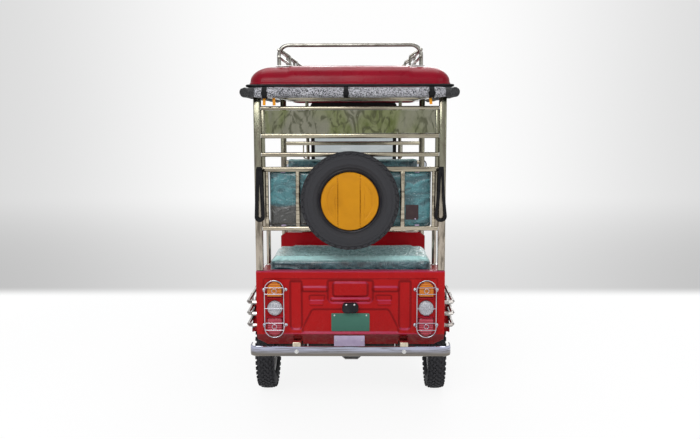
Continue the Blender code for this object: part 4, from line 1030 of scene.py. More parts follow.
@dataclass
class Studio:
    """Pale floor, soft light and the camera of the photograph."""

    lens: float = 42.04
    eye: Point = (0.0555, -5.482, 1.5473)
    pitch: float = 0.1273
    yaw: float = 0.0135
    roll: float = -0.0027
    floor_half: float = 40.0
    wall_y: float = 1.50
    lift: float = 0.86
    side_light: tuple[Flat, Flat] = ((0.10, 0.99), (0.46, 0.70))

    def build(self) -> None:
        """Make the floor, the world, the lamps and the camera."""
        self.make_floor()
        self.make_world()
        self.make_lamps()
        self.make_camera()

    def make_floor(self) -> None:
        """Lay a pale floor that turns a little greyer past the vehicle and keeps its shadow soft."""
        form = bmesh.new()
        bmesh.ops.create_grid(form, x_segments=2, y_segments=2, size=self.floor_half)
        mesh = bpy.data.meshes.new("studio_floor")
        form.to_mesh(mesh)
        form.free()
        board = Board("studio_floor")
        split = board.add("ShaderNodeSeparateXYZ", {"Vector": board.place()})
        behind = board.spread(split.outputs["Y"], self.wall_y - 0.12, self.wall_y + 0.30)
        far = board.mix(board.spread(split.outputs["Y"], self.wall_y, self.wall_y + 9.0), (0.76, 0.76, 0.76),
                        (1.0, 1.0, 1.0))
        board.surface(Base_Color=board.mix(behind, (0.78, 0.78, 0.78), (0.62, 0.62, 0.62)), Roughness=0.9,
                      Specular_IOR_Level=0.1)
        near = board.sum("SUBTRACT", 1.03, board.sum("MULTIPLY", behind, 0.03))
        fade = board.sum("MULTIPLY", behind, board.sum("SUBTRACT", self.dimming(board), 1.0))
        glow = board.add("ShaderNodeEmission", {"Color": board.mix(behind, (1.0, 1.0, 1.0), far),
                                                "Strength": board.sum("ADD", fade, near)})
        reach = board.add("ShaderNodeVectorMath", {0: board.place()}, operation="LENGTH").outputs["Value"]
        rays = board.add("ShaderNodeLightPath").outputs
        seen = board.sum("MAXIMUM", board.sum("MAXIMUM", rays["Is Camera Ray"], rays["Is Glossy Ray"]),
                         rays["Is Transmission Ray"])
        share = board.sum("MULTIPLY", seen, board.spread(reach, 1.6, 4.5, self.lift, 1.0))
        blend = board.add("ShaderNodeMixShader", {0: share})
        board.tree.links.new(board.shader.outputs[0], blend.inputs[1])
        board.tree.links.new(glow.outputs[0], blend.inputs[2])
        board.tree.links.new(blend.outputs[0], board.tree.nodes["Material Output"].inputs["Surface"])
        mesh.materials.append(board.material)
        floor = bpy.data.objects.new("studio_floor", mesh)
        bpy.context.scene.collection.objects.link(floor)

    def dimming(self, board: Board) -> Socket:
        """Share of light that is left sideways of the photograph's middle, as in the world."""
        away = board.add("ShaderNodeVectorMath", {0: board.place(), 1: self.eye},
                         operation="SUBTRACT").outputs[0]
        aim = board.add("ShaderNodeVectorMath", {0: away}, operation="NORMALIZE").outputs[0]
        side = board.sum("ABSOLUTE", board.add("ShaderNodeSeparateXYZ", {"Vector": aim}).outputs["X"], 0.0)
        (near, bright), (far, dim) = self.side_light
        return board.spread(side, near, far, bright, dim)

    def make_world(self) -> None:
        """Light the object evenly, from a world that looks white in the middle and greyer at the sides."""
        world = bpy.data.worlds.new("studio_world")
        bpy.context.scene.world = world
        world.use_nodes = True
        nodes, links = world.node_tree.nodes, world.node_tree.links
        rays = nodes.new("ShaderNodeLightPath")
        first = nodes.new("ShaderNodeMath")
        second = nodes.new("ShaderNodeMath")
        for node in (first, second):
            node.operation = "MAXIMUM"
        links.new(rays.outputs["Is Camera Ray"], first.inputs[0])
        links.new(rays.outputs["Is Glossy Ray"], first.inputs[1])
        links.new(first.outputs["Value"], second.inputs[0])
        links.new(rays.outputs["Is Transmission Ray"], second.inputs[1])
        shown = nodes.new("ShaderNodeBackground")
        shown.inputs["Strength"].default_value = 1.0
        split = nodes.new("ShaderNodeSeparateXYZ")
        links.new(nodes.new("ShaderNodeTexCoord").outputs["Generated"], split.inputs[0])
        ramp = nodes.new("ShaderNodeValToRGB")
        size = nodes.new("ShaderNodeMath")
        size.operation = "ABSOLUTE"
        links.new(split.outputs["X"], size.inputs[0])
        links.new(size.outputs[0], ramp.inputs[0])
        ramp.color_ramp.interpolation = "EASE"
        for stop, (spot, tone) in zip(ramp.color_ramp.elements, self.side_light):
            stop.position, stop.color = spot, (tone, tone, tone, 1.0)
        links.new(ramp.outputs["Color"], shown.inputs["Color"])
        lit = nodes["Background"]
        lit.inputs["Color"].default_value = (0.95, 0.97, 1.0, 1.0)
        lit.inputs["Strength"].default_value = 0.38
        blend = nodes.new("ShaderNodeMixShader")
        links.new(second.outputs["Value"], blend.inputs[0])
        links.new(lit.outputs[0], blend.inputs[1])
        links.new(shown.outputs[0], blend.inputs[2])
        links.new(blend.outputs[0], nodes["World Output"].inputs["Surface"])

    @staticmethod
    def make_lamps() -> None:
        """Hang four large soft lamps behind, beside, before and above the vehicle."""
        lamps = (  # name, place, aim, width, height, power
            ("key_light", (-1.4, -5.4, 3.9), (0.0, -0.6, 0.9), 3.2, 2.0, 150.0),
            ("fill_light", (3.4, -4.0, 3.0), (0.0, -0.6, 0.9), 2.6, 2.6, 46.0),
            ("front_light", (0.6, 4.6, 3.6), (0.0, 0.4, 0.8), 3.0, 2.4, 110.0),
            ("top_light", (0.0, 0.8, 5.2), (0.0, 0.0, 0.9), 4.0, 3.0, 110.0))
        for name, spot, aim, width, tall, power in lamps:
            light = bpy.data.lights.new(name, "AREA")
            light.shape = "RECTANGLE"
            light.size, light.size_y, light.energy = width, tall, power
            lamp = bpy.data.objects.new(name, light)
            lamp.location = spot
            lamp.rotation_euler = (Vector(aim) - Vector(spot)).to_track_quat("-Z", "Y").to_euler()
            bpy.context.scene.collection.objects.link(lamp)

    def make_camera(self) -> None:
        """Set the camera where the photograph was taken from."""
        data = bpy.data.cameras.new("photo_camera")
        data.sensor_width = 36.0
        data.lens = self.lens
        data.clip_end = 200.0
        camera = bpy.data.objects.new("photo_camera", data)
        camera.location = self.eye
        turn = (Matrix.Rotation(self.yaw, 4, "Z") @ Matrix.Rotation(math.pi / 2 - self.pitch, 4, "X")
                @ Matrix.Rotation(self.roll, 4, "Z"))
        camera.rotation_euler = turn.to_euler()
        bpy.context.scene.collection.objects.link(camera)
        bpy.context.scene.camera = camera


@dataclass
class Wheel:
    """One tyre with its tread and one pressed rim, built round X and then put in place."""

    name: str
    place: Matrix
    body: Body
    radius: float = 0.25
    lugs: int = 44
    outward: int = 1
    metal: Finish = RIM_SILVER

    def tyre(self) -> bpy.types.Object:
        """Make the tyre with its sidewall rings and tread blocks."""
        shoulder = [(0.2432, 0.0), (0.2430, 0.010), (0.2424, 0.022), (0.2405, 0.031), (0.2360, 0.0385),
                    (0.2290, 0.0430), (0.2275, 0.0448), (0.2245, 0.0448), (0.2230, 0.0440),
                    (0.2150, 0.0452), (0.2140, 0.0466), (0.2115, 0.0466), (0.2105, 0.0456),
                    (0.1990, 0.0464), (0.1900, 0.0466), (0.1882, 0.0470), (0.1866, 0.0470),
                    (0.1850, 0.0458), (0.1740, 0.0400), (0.1725, 0.0402), (0.1705, 0.0385),
                    (0.1650, 0.0315), (0.1610, 0.0282), (0.1530, 0.0278)]
        section = [(radius, -across) for radius, across in reversed(shoulder)] + shoulder[1:]
        shape = Shape.lathe(section, Axis.X, 96, closed=True)
        for index in range(self.lugs):
            angle = 2 * math.pi * index / self.lugs
            shape.join(*self.tread_row(angle, 2 * math.pi / self.lugs))
        return shape.move(self.place).piece(f"{self.name}_tyre_tread", RUBBER, self.body,
                                            [self.node("tyre")], 32)

    def tread_row(self, angle: float, pitch: float) -> list[Shape]:
        """Blocks of one row across the tread.

        Args:
            angle: Where the row sits round the wheel.
            pitch: Angle from one row to the next.

        Returns:
            The row's blocks.
        """
        blocks = []
        long = self.radius * pitch
        rows = (  # middle x, half width, share of the pitch, shift round the wheel, lean, height
            (0.0, 0.0060, 0.74, 0.0, 0.5, 0.2492), (-0.0150, 0.0062, 0.70, 0.5, -0.4, 0.2486),
            (0.0150, 0.0062, 0.70, 0.5, 0.4, 0.2486), (-0.0290, 0.0052, 0.66, 0.1, 0.3, 0.2462),
            (0.0290, 0.0052, 0.66, 0.1, -0.3, 0.2462))
        for middle, half, share, shift, lean, top in rows:
            block = Shape.block((-half, -long * share / 2, 0.238), (half, long * share / 2, top), 0.0007, 1)
            block.move(Matrix.Rotation(lean, 4, "Z"))
            block.move(Matrix.Rotation(angle + shift * pitch, 4, "X") @ Matrix.Translation((middle, 0, 0)))
            blocks.append(block)
        for sign in SIGNS:
            lug = Shape.block((-0.0050, -long * 0.30, -0.008), (0.0014, long * 0.30, 0.008), 0.0008, 1)
            lug.move(Matrix.Translation((sign * 0.0420, 0, 0.2345)) @ Matrix.Rotation(sign * 0.75, 4, "Y"))
            blocks.append(lug.move(Matrix.Rotation(angle + 0.35 * pitch, 4, "X")))
        return blocks

    def node(self, part: str) -> str:
        """Name of the solid of this wheel's tyre or rim."""
        where, _, side = self.name.partition("_")
        return f"{where}_{part}_{side}" if side else f"{where}_{part}"

    def rim(self, bolts: int = 5, hub: Sequence[Flat] = ()) -> bpy.types.Object:
        """Make the pressed rim with its vents and wheel nuts.

        Args:
            bolts: Number of wheel nuts.
            hub: Section of the hub, from the disc's inner face round to its outer.

        Returns:
            The rim.
        """
        section = [(0.1585, 0.0322), (0.1615, 0.0308), (0.1610, 0.0285), (0.1500, 0.0283),
                   (0.1460, 0.0250), (0.1330, 0.0160), (0.1310, 0.0120), (0.1310, -0.0120),
                   (0.1330, -0.0160), (0.1460, -0.0250), (0.1500, -0.0283), (0.1610, -0.0285),
                   (0.1615, -0.0308), (0.1585, -0.0322), (0.1480, -0.0290), (0.1430, -0.0240),
                   (0.1300, -0.0150), (0.1285, -0.0100), (0.1285, 0.0015), (0.1200, 0.0075),
                   (0.1100, 0.0125), (0.0980, 0.0135), (0.0860, 0.0100)]
        front = [(0.0860, 0.0135), (0.0980, 0.0170), (0.1105, 0.0158), (0.1215, 0.0105), (0.1285, 0.0060),
                 (0.1300, 0.0150), (0.1430, 0.0240), (0.1480, 0.0285)]
        outline = [(radius, across * self.outward) for radius, across in [*section, *hub, *front]]
        shape = Shape.lathe(outline, Axis.X, 72, closed=True)
        face_x = 0.0110 * self.outward
        for index in range(bolts):
            turn = Matrix.Rotation(2 * math.pi * (index + 0.5) / bolts, 4, "X")
            nut = hexagon_bolt((face_x, 0, 0.055), Axis.X, self.outward, 0.0085, 0.010)
            shape.join(nut.move(turn))
        vent_low, vent_high = (face_x + rise * self.outward for rise in (0.0030, 0.0070))
        for index in range(bolts * 2):
            vent = Shape.rod((vent_low, 0, 0.104), (vent_high, 0, 0.104), 0.0090, 0.0075, 20, 0.0008)
            shape.join(vent.move(Matrix.Rotation(math.pi * index / bolts, 4, "X")))
        return shape.move(self.place).piece(f"{self.name}_rim_disc", self.metal, self.body,
                                            [self.node("rim")])


@dataclass
class Wheels:
    """The four wheels of the vehicle."""

    axle_y: float = AXLE_Y
    front_y: float = FRONT_Y
    track_half: float = 0.4705
    hub_z: float = HUB_Z
    spare: Point = (0.0, -1.3725, 1.1176)
    stub: float = 0.0153

    def build(self) -> None:
        """Make the rear, front and spare wheels."""
        drum = [(0.0800, 0.0100), (0.0800, -0.0350), (0.0740, -0.0350), (0.0740, 0.0040), (self.stub, 0.0040),
                (self.stub, 0.0345), (0.0, 0.0345), (0.0, 0.0445), (0.0200, 0.0435), (0.0255, 0.0400),
                (0.0270, 0.0360), (0.0300, 0.0350), (0.0310, 0.0140)]
        for sign, body in ((-1, Body.REAR_LEFT), (1, Body.REAR_RIGHT)):
            place = Matrix.Translation((sign * self.track_half, self.axle_y, self.hub_z))
            wheel = Wheel(f"rear_{side_name(sign)}", place, body, outward=sign)
            wheel.tyre()
            wheel.rim(5, drum)
        bore = 0.0088
        through = [(0.0360, 0.0100), (0.0360, -0.0448), (bore, -0.0448), (bore, 0.0448), (0.0360, 0.0448),
                   (0.0360, 0.0140)]
        front = Wheel("front", Matrix.Translation((0, self.front_y, self.hub_z)), Body.FRONT_WHEEL)
        front.tyre()
        front.rim(5, through)
        upright = Matrix.Translation(self.spare) @ Matrix.Rotation(-math.pi / 2, 4, "Z")
        spare = Wheel("spare", upright, Body.CHASSIS, metal=RIM_BLACK)
        spare.tyre()
        spare.rim(5, [(0.0300, 0.0100), (0.0300, 0.0135)])
        self.carrier()
        self.cover()

    def carrier(self) -> None:
        """Make the two straps and the boss that hold the spare wheel."""
        _, y, z = self.spare
        back = -1.3063
        shape = Shape()
        for x in (-0.05, 0.05):
            shape.join(Shape.block((x - 0.015, back - 0.004, 0.958), (x + 0.015, back, 1.280), 0.0012))
            for bolt_z in (0.966, 1.271):
                shape.join(hexagon_bolt((x, back - 0.004, bolt_z), Axis.Y, -1, 0.0055))
        shape.join(Shape.block((-0.063, back - 0.0045, z - 0.04), (0.063, back - 0.0005, z + 0.04), 0.001),
                   Shape.rod((0, back - 0.002, z), (0, y - 0.026, z), 0.033, sides=40, bevel=0.003))
        shape.piece("spare_carrier", ZINC)

    def cover(self) -> None:
        """Make the round cover with its two pressed lines and the bow-shaped fields beside them."""
        x, y, z = self.spare
        edge, out = 0.1456, 0.0472
        rings = 44
        dome = [(edge * index / rings, out - 0.0035 * (index / rings) ** 4) for index in range(rings)]
        rim = [(edge - 0.0012, out - 0.0052), (edge, out - 0.0075), (edge, 0.0290), (edge - 0.0040, 0.0290),
               (edge - 0.0045, out - 0.0105), (0.10, out - 0.0050), (0.0, out - 0.0040)]
        shape = Shape.lathe(dome + rim, Axis.Y, 128).move(FLIP_Y).tidy()
        for line in (-0.063, -0.0575, 0.0495, 0.055):
            shape.cut((line, 0, 0), (1, 0, 0))

        def pressed(spot: Vector) -> Vector:
            """Depth of the pressing at a point of the cover's face."""
            if spot.y > -(out - 0.0048):
                return Vector()
            reach = math.hypot(spot.x, spot.z)
            line = max(1 - abs(spot.x + 0.0605) / 0.0034, 1 - abs(spot.x - 0.0525) / 0.0034, 0.0)
            field = min(abs(spot.x) - 0.070, 0.118 - reach)
            bow = eased(field / 0.004) - 0.55 * eased((field - 0.006) / 0.004)
            inside = 1.0 if reach < 0.139 else 0.0
            return Vector((0, (0.0040 * eased(line) * inside) + 0.0026 * bow, 0))

        shape.displaced(pressed).move(Matrix.Translation((x, y, z)))
        shape.piece("spare_cover_disc", YELLOW_COVER, replaces=["spare_cover"], sharp=30)


@dataclass
class TailPanel:
    """Pressed tail panel with the lip below its crease, painted a darker red as painted shade."""

    half: float = 0.49
    face: float = -1.315
    top: float = 0.744
    crease: float = 0.409
    bottom: float = 0.344
    fold: float = 0.047
    tuck: float = 0.045
    wall: float = 0.002
    column: float = 0.0045

    def build(self) -> None:
        """Make the panel and its lip."""
        angles = [math.pi / 2 * step / 5 for step in range(6)]
        round_top = [(self.face + 0.007 * (1 - math.sin(angle)), self.top - 0.007 * (1 - math.cos(angle)))
                     for angle in angles]
        rows = 84
        line = [(self.face + self.fold - 0.0005, self.top), (self.face + self.fold / 2, self.top), *round_top]
        low = round_top[-1][1]
        line += [(self.face, low + (self.crease - low) * row / rows) for row in range(1, rows + 1)]

        def pressed(spot: Vector) -> Vector:
            """Depth of the pressings at a point of the panel's face."""
            return Vector((0, self.depth(spot.x, spot.z) if spot.z < low + 0.0001 else 0, 0))

        sheet = self.sheet(line).displaced(pressed).thicken(-self.wall).tidy()
        sheet.piece("tail_pressing", TAIL_PAINT, replaces=["tail_panel"], sharp=50)
        self.lip()

    def lip(self) -> None:
        """Make the lip, painted a darker red as painted shade, tucked in below the crease, with its raised
        corners and two slots.
        """
        drop = self.crease - self.bottom
        line = [(self.face, self.crease - 0.0004)]
        for share in (step / 10 for step in range(1, 11)):
            line.append((self.face + self.tuck * share + 0.004 * math.sin(math.pi * share),
                         self.crease - drop * share))
        inner = line[-1][0]
        line += [(inner + 0.004, self.bottom + 0.001), (inner + 0.012, self.bottom + 0.004)]
        shape = self.sheet(line)
        for vert in shape.form.verts:
            vert.co.z = max(vert.co.z, self.bottom + 0.6 * max(abs(vert.co.x) - 0.44, 0.0))
        centres = {face: face.calc_center_median() for face in shape.form.faces}
        slots = [face for face, spot in centres.items()
                 if abs(abs(spot.x) - RAIL_X) < 0.026 and spot.z < 0.395]
        bmesh.ops.delete(shape.form, geom=slots, context="FACES")
        shape.thicken(self.wall).tidy().piece("tail_lip", SHADED_LIP_PAINT, sharp=50)

    def sheet(self, line: Sequence[Flat]) -> Shape:
        """Sweep a line of (y, z) points across the panel's width."""
        rows = len(line) - 1
        return Shape.grid(round(2 * self.half / self.column), rows,
                          lambda across, down: (self.half * (2 * across - 1), *line[round(down * rows)]))

    @staticmethod
    def field(x: float, z: float, box: tuple[float, float, float, float], corner: float,
              soft: float) -> float:
        """Share of a pressing at a point, 1 inside its round box and 0 outside.

        Args:
            x: Distance from the middle.
            z: Height.
            box: Lowest x, highest x, lowest z and highest z of the pressing.
            corner: Radius of its corners.
            soft: Width of its slope.

        Returns:
            The share at the point.
        """
        left, right, low, high = box
        over_x = abs(x - (left + right) / 2) - (right - left) / 2 + corner
        over_z = abs(z - (low + high) / 2) - (high - low) / 2 + corner
        outside = math.hypot(max(over_x, 0.0), max(over_z, 0.0)) + min(max(over_x, over_z), 0.0) - corner
        return eased(0.5 - outside / soft)

    def depth(self, x: float, z: float) -> float:
        """How far the sheet is pressed inwards at a point of its face."""
        x = abs(x)
        depth = 0.0022 * self.field(x, z, (-0.5, 0.4525, 0.4125, 0.7035), 0.006, 0.005)
        slope = 0.2 + 0.05 * min(max((0.541 - z) / 0.10, 0.0), 1.0)
        well = self.field(x, z, (-slope, slope, 0.38, 0.541), 0.012, 0.017) * eased((z - 0.4155) / 0.006)
        trough = self.field(x, z, (0.2535, 0.3135, 0.4345, 0.715), 0.020, 0.010) * eased((0.700 - z) / 0.020)
        depth += 0.0046 * max(well - 0.9 * trough, 0.0) + 0.0060 * trough
        moat = self.field(x, z, (-0.118, 0.118, 0.576, 0.715), 0.030, 0.016) * eased((0.700 - z) / 0.014)
        depth += 0.0052 * moat
        depth -= 0.0072 * self.field(x, z, (-0.090, 0.090, 0.610, 0.684), 0.014, 0.010)
        depth -= 0.0062 * self.field(x, z, (-0.102, 0.102, 0.584, 0.600), 0.008, 0.010)
        depth -= 0.0058 * self.field(x, z, (0.117, 0.250, 0.637, 0.661), 0.011, 0.011)
        depth += 0.0034 * self.field(x, z, (0.130 + 0.3 * (0.615 - z), 0.214, 0.588, 0.616), 0.006, 0.006)
        depth -= 0.0022 * self.field(x, z, (0.142, 0.214, 0.561, 0.575), 0.006, 0.008)
        return depth


@dataclass
class TailLamp:
    """One tail lamp: amber, white and red lenses behind a wire guard."""

    sign: int
    middle: float = 0.393
    face: float = -1.3152

    def build(self) -> None:
        """Make the base, the lenses and the wire guard."""
        x = self.sign * self.middle
        side = side_name(self.sign)
        base = Shape.slab(rounded_box(0.043, 0.406, 0.696, 0.040, x, 8), Axis.Y, self.face - 0.008,
                          self.face, 0.002)
        for z in (0.604, 0.5035):
            base.join(Shape.block((x - 0.041, self.face - 0.020, z - 0.0025),
                                  (x + 0.041, self.face - 0.006, z + 0.0025), 0.001))
        base.piece(f"tail_lamp_base_{side}", TAIL_PAINT, replaces=[f"tail_lamp_{side}"])
        gasket = Shape.rod((x, self.face - 0.0115, 0.551), (x, self.face - 0.004, 0.551), 0.0412, sides=40,
                           bevel=0.001)
        for name, finish, low, high, up in (("amber", AMBER_LENS, 0.6145, 0.6905, 1),
                                            ("red", RED_LENS, 0.4095, 0.4985, -1)):
            self.half_lens(x, low, high, up, 0.0372).piece(f"{name}_lens_{side}", finish, sharp=45)
            gasket.join(self.half_lens(x, low - 0.0025, high + 0.0025, up, 0.0405, 0.0110))
        gasket.piece(f"lens_gaskets_{side}", LAMP_RUBBER, sharp=50)
        dome = [(0.0, 0.031), (0.014, 0.0305), (0.026, 0.0285), (0.034, 0.0245), (0.0385, 0.0190),
                (0.0395, 0.004), (0.0, 0.004)]
        clear = Shape.lathe(dome, Axis.Y, 40).move(Matrix.Translation((x, self.face, 0.551)) @ FLIP_Y).tidy()
        clear.piece(f"clear_lens_{side}", CLEAR_LENS, sharp=45)
        self.guard(x).piece(f"lamp_guard_{side}", CHROME, sharp=50)

    def half_lens(self, x: float, low: float, high: float, up: int, half: float,
                  tall: float = 0.028) -> Shape:
        """Lens with a round end, domed towards the rear.

        Args:
            x: Middle of the lens.
            low: Lowest height.
            high: Highest height.
            up: Sign of the end that is round.
            half: Half its width.
            tall: How far it stands out.

        Returns:
            The lens.
        """
        flat, tip = (low, high) if up > 0 else (high, low)
        arc = [(x + half * math.cos(math.pi * step / 14),
                tip - up * half + up * half * math.sin(math.pi * step / 14)) for step in range(15)]
        outline = [(x + half, flat), *arc, (x - half, flat)]
        lens = Shape.slab(outline, Axis.Y, self.face - tall, self.face - 0.004)
        return lens.bevel(min(0.007, tall / 8), 4, 25)

    def guard(self, x: float) -> Shape:
        """Wire guard: a ring, double wires across both coloured lenses, one across the white, four ears."""
        wire, y = 0.0024, self.face - 0.043
        ring = rounded_box(0.0495, 0.4035, 0.7025, 0.0485, x, 10)
        shape = Shape.tube([Vector((across, y, up)) for across, up in ring], wire, 10, closed=True)
        for z in (0.6655, 0.6315, 0.5555, 0.4790, 0.4415):
            bow = [Vector((x - 0.049, y, z)), Vector((x, y - 0.002, z)), Vector((x + 0.049, y, z))]
            shape.join(Shape.tube(bow, wire * 0.85, 8))
        for z in (0.6480, 0.4600):
            hoop = [Vector((across, y - 0.001, up)) for across, up in circle(0.012, 16, x, z)]
            shape.join(Shape.tube(hoop, wire * 0.7, 8, closed=True))
            for sign in SIGNS:
                ear = x + sign * 0.0565
                foot = rounded_path([(x + sign * 0.049, y, z), (ear, y, z), (ear, self.face - 0.001, z)],
                                    0.006, 4)
                washer = Shape.rod((ear, self.face - 0.0030, z), (ear, self.face, z), 0.0085, sides=20,
                                   bevel=0.0006)
                shape.join(Shape.tube(foot, wire * 0.9, 8),
                           round_screw((ear, self.face - 0.003, z), Axis.Y, 0.0058), washer)
        return shape


@dataclass
class TailFittings:
    """Blank number plate and sign, plate lamp, and the bumper with its posts, slot covers and bolts."""

    face: float = -1.3152
    well: float = -1.3104

    def build(self) -> None:
        """Make the fittings on the tail."""
        for sign in SIGNS:
            TailLamp(sign).build()
        plate = Shape.slab(rounded_box(0.10, 0.424, 0.520, 0.006), Axis.Y, self.well - 0.0014, self.well,
                           0.0004)
        plate.piece("blank_number_plate", GREEN_PLATE, replaces=["number_plate"])
        screws = Shape()
        for sign in SIGNS:
            screws.join(round_screw((sign * 0.0835, self.well - 0.0012, 0.5085), Axis.Y, 0.0045),
                        round_screw((sign * 0.0210, self.face - 0.0300, 0.5725), Axis.Y, 0.0048),
                        round_screw((sign * 0.068 - 0.006, self.face - 0.0017, 0.3765), Axis.Y, 0.0030))
        screws.piece("plate_screws", ZINC)
        outline = [(-0.042, 0.5415), (-0.036, 0.530), (0.036, 0.530), (0.042, 0.5415), (0.042, 0.566),
                   (0.032, 0.5795), (-0.032, 0.5795), (-0.042, 0.566)]
        hood = Shape.slab(outline, Axis.Y, self.face - 0.0295, self.face, 0.0045, 3)
        for x in (-0.022, 0.0, 0.022):
            hood.join(Shape.block((x - 0.0085, self.face - 0.0250, 0.5275),
                                  (x + 0.0085, self.face - 0.006, 0.5325), 0.001))
        hood.piece("plate_lamp_hood", BLACK_PLASTIC, replaces=["plate_lamp"])
        blank = Shape.slab(rounded_box(0.08, 0.342, 0.4010, 0.004, -0.006), Axis.Y, self.face - 0.0018,
                           self.face, 0.0004)
        blank.piece("blank_rear_sign", PALE_SIGN, replaces=["rear_sign"])
        self.bumper()

    def bumper(self) -> None:
        """Make the bumper's rolled bar with its posts, the covers over the lip's slots and its bolts."""
        half, rear, front, low, high = 0.52, -1.39, -1.302, 0.3095, 0.3650
        path = rounded_path([(-half, front, 0), (-half, rear, 0), (half, rear, 0), (half, front, 0)],
                            0.065, 10)
        section = [(0.0060, low + 0.001), (0.0012, low + 0.0035), (0.0, low + 0.012), (0.0, high - 0.012),
                   (0.0012, high - 0.0035), (0.0060, high - 0.001), (0.0075, high - 0.003),
                   (0.0032, high - 0.0060), (0.0022, high - 0.014), (0.0022, low + 0.014),
                   (0.0032, low + 0.0060), (0.0075, low + 0.003)]
        rings = []
        for index, point in enumerate(path):
            ahead = (path[min(index + 1, len(path) - 1)] - path[max(index - 1, 0)]).normalized()
            inward = Vector((-ahead.y, ahead.x, 0))
            rings.append([point + inward * depth + Vector((0, 0, z)) for depth, z in section])
        Shape.loft(rings).piece("bumper_bar", BUMPER_CHROME, replaces=["rear_bumper"], sharp=50)
        posts, covers, bolts = Shape(), Shape(), Shape()
        for sign in SIGNS:
            x = sign * RAIL_X
            posts.join(Shape.block((x - 0.0210, rear + 0.003, low + 0.008), (x + 0.0210, -1.2553, 0.3845),
                                   0.003, 3))
            # Covers over the lip's slots, in the lip's darker red, which is painted shade
            covers.join(Shape.block((x - 0.0255, -1.2900, 0.3660), (x + 0.0255, -1.2640, 0.3946), 0.002))
            bolts.join(hexagon_bolt((x, rear - 0.0002, 0.337), Axis.Y, -1, 0.0075, 0.005))
        posts.piece("bumper_posts", POST_STEEL)
        covers.piece("slot_covers", SHADED_LIP_PAINT)
        bolts.piece("bumper_bolts", ZINC)


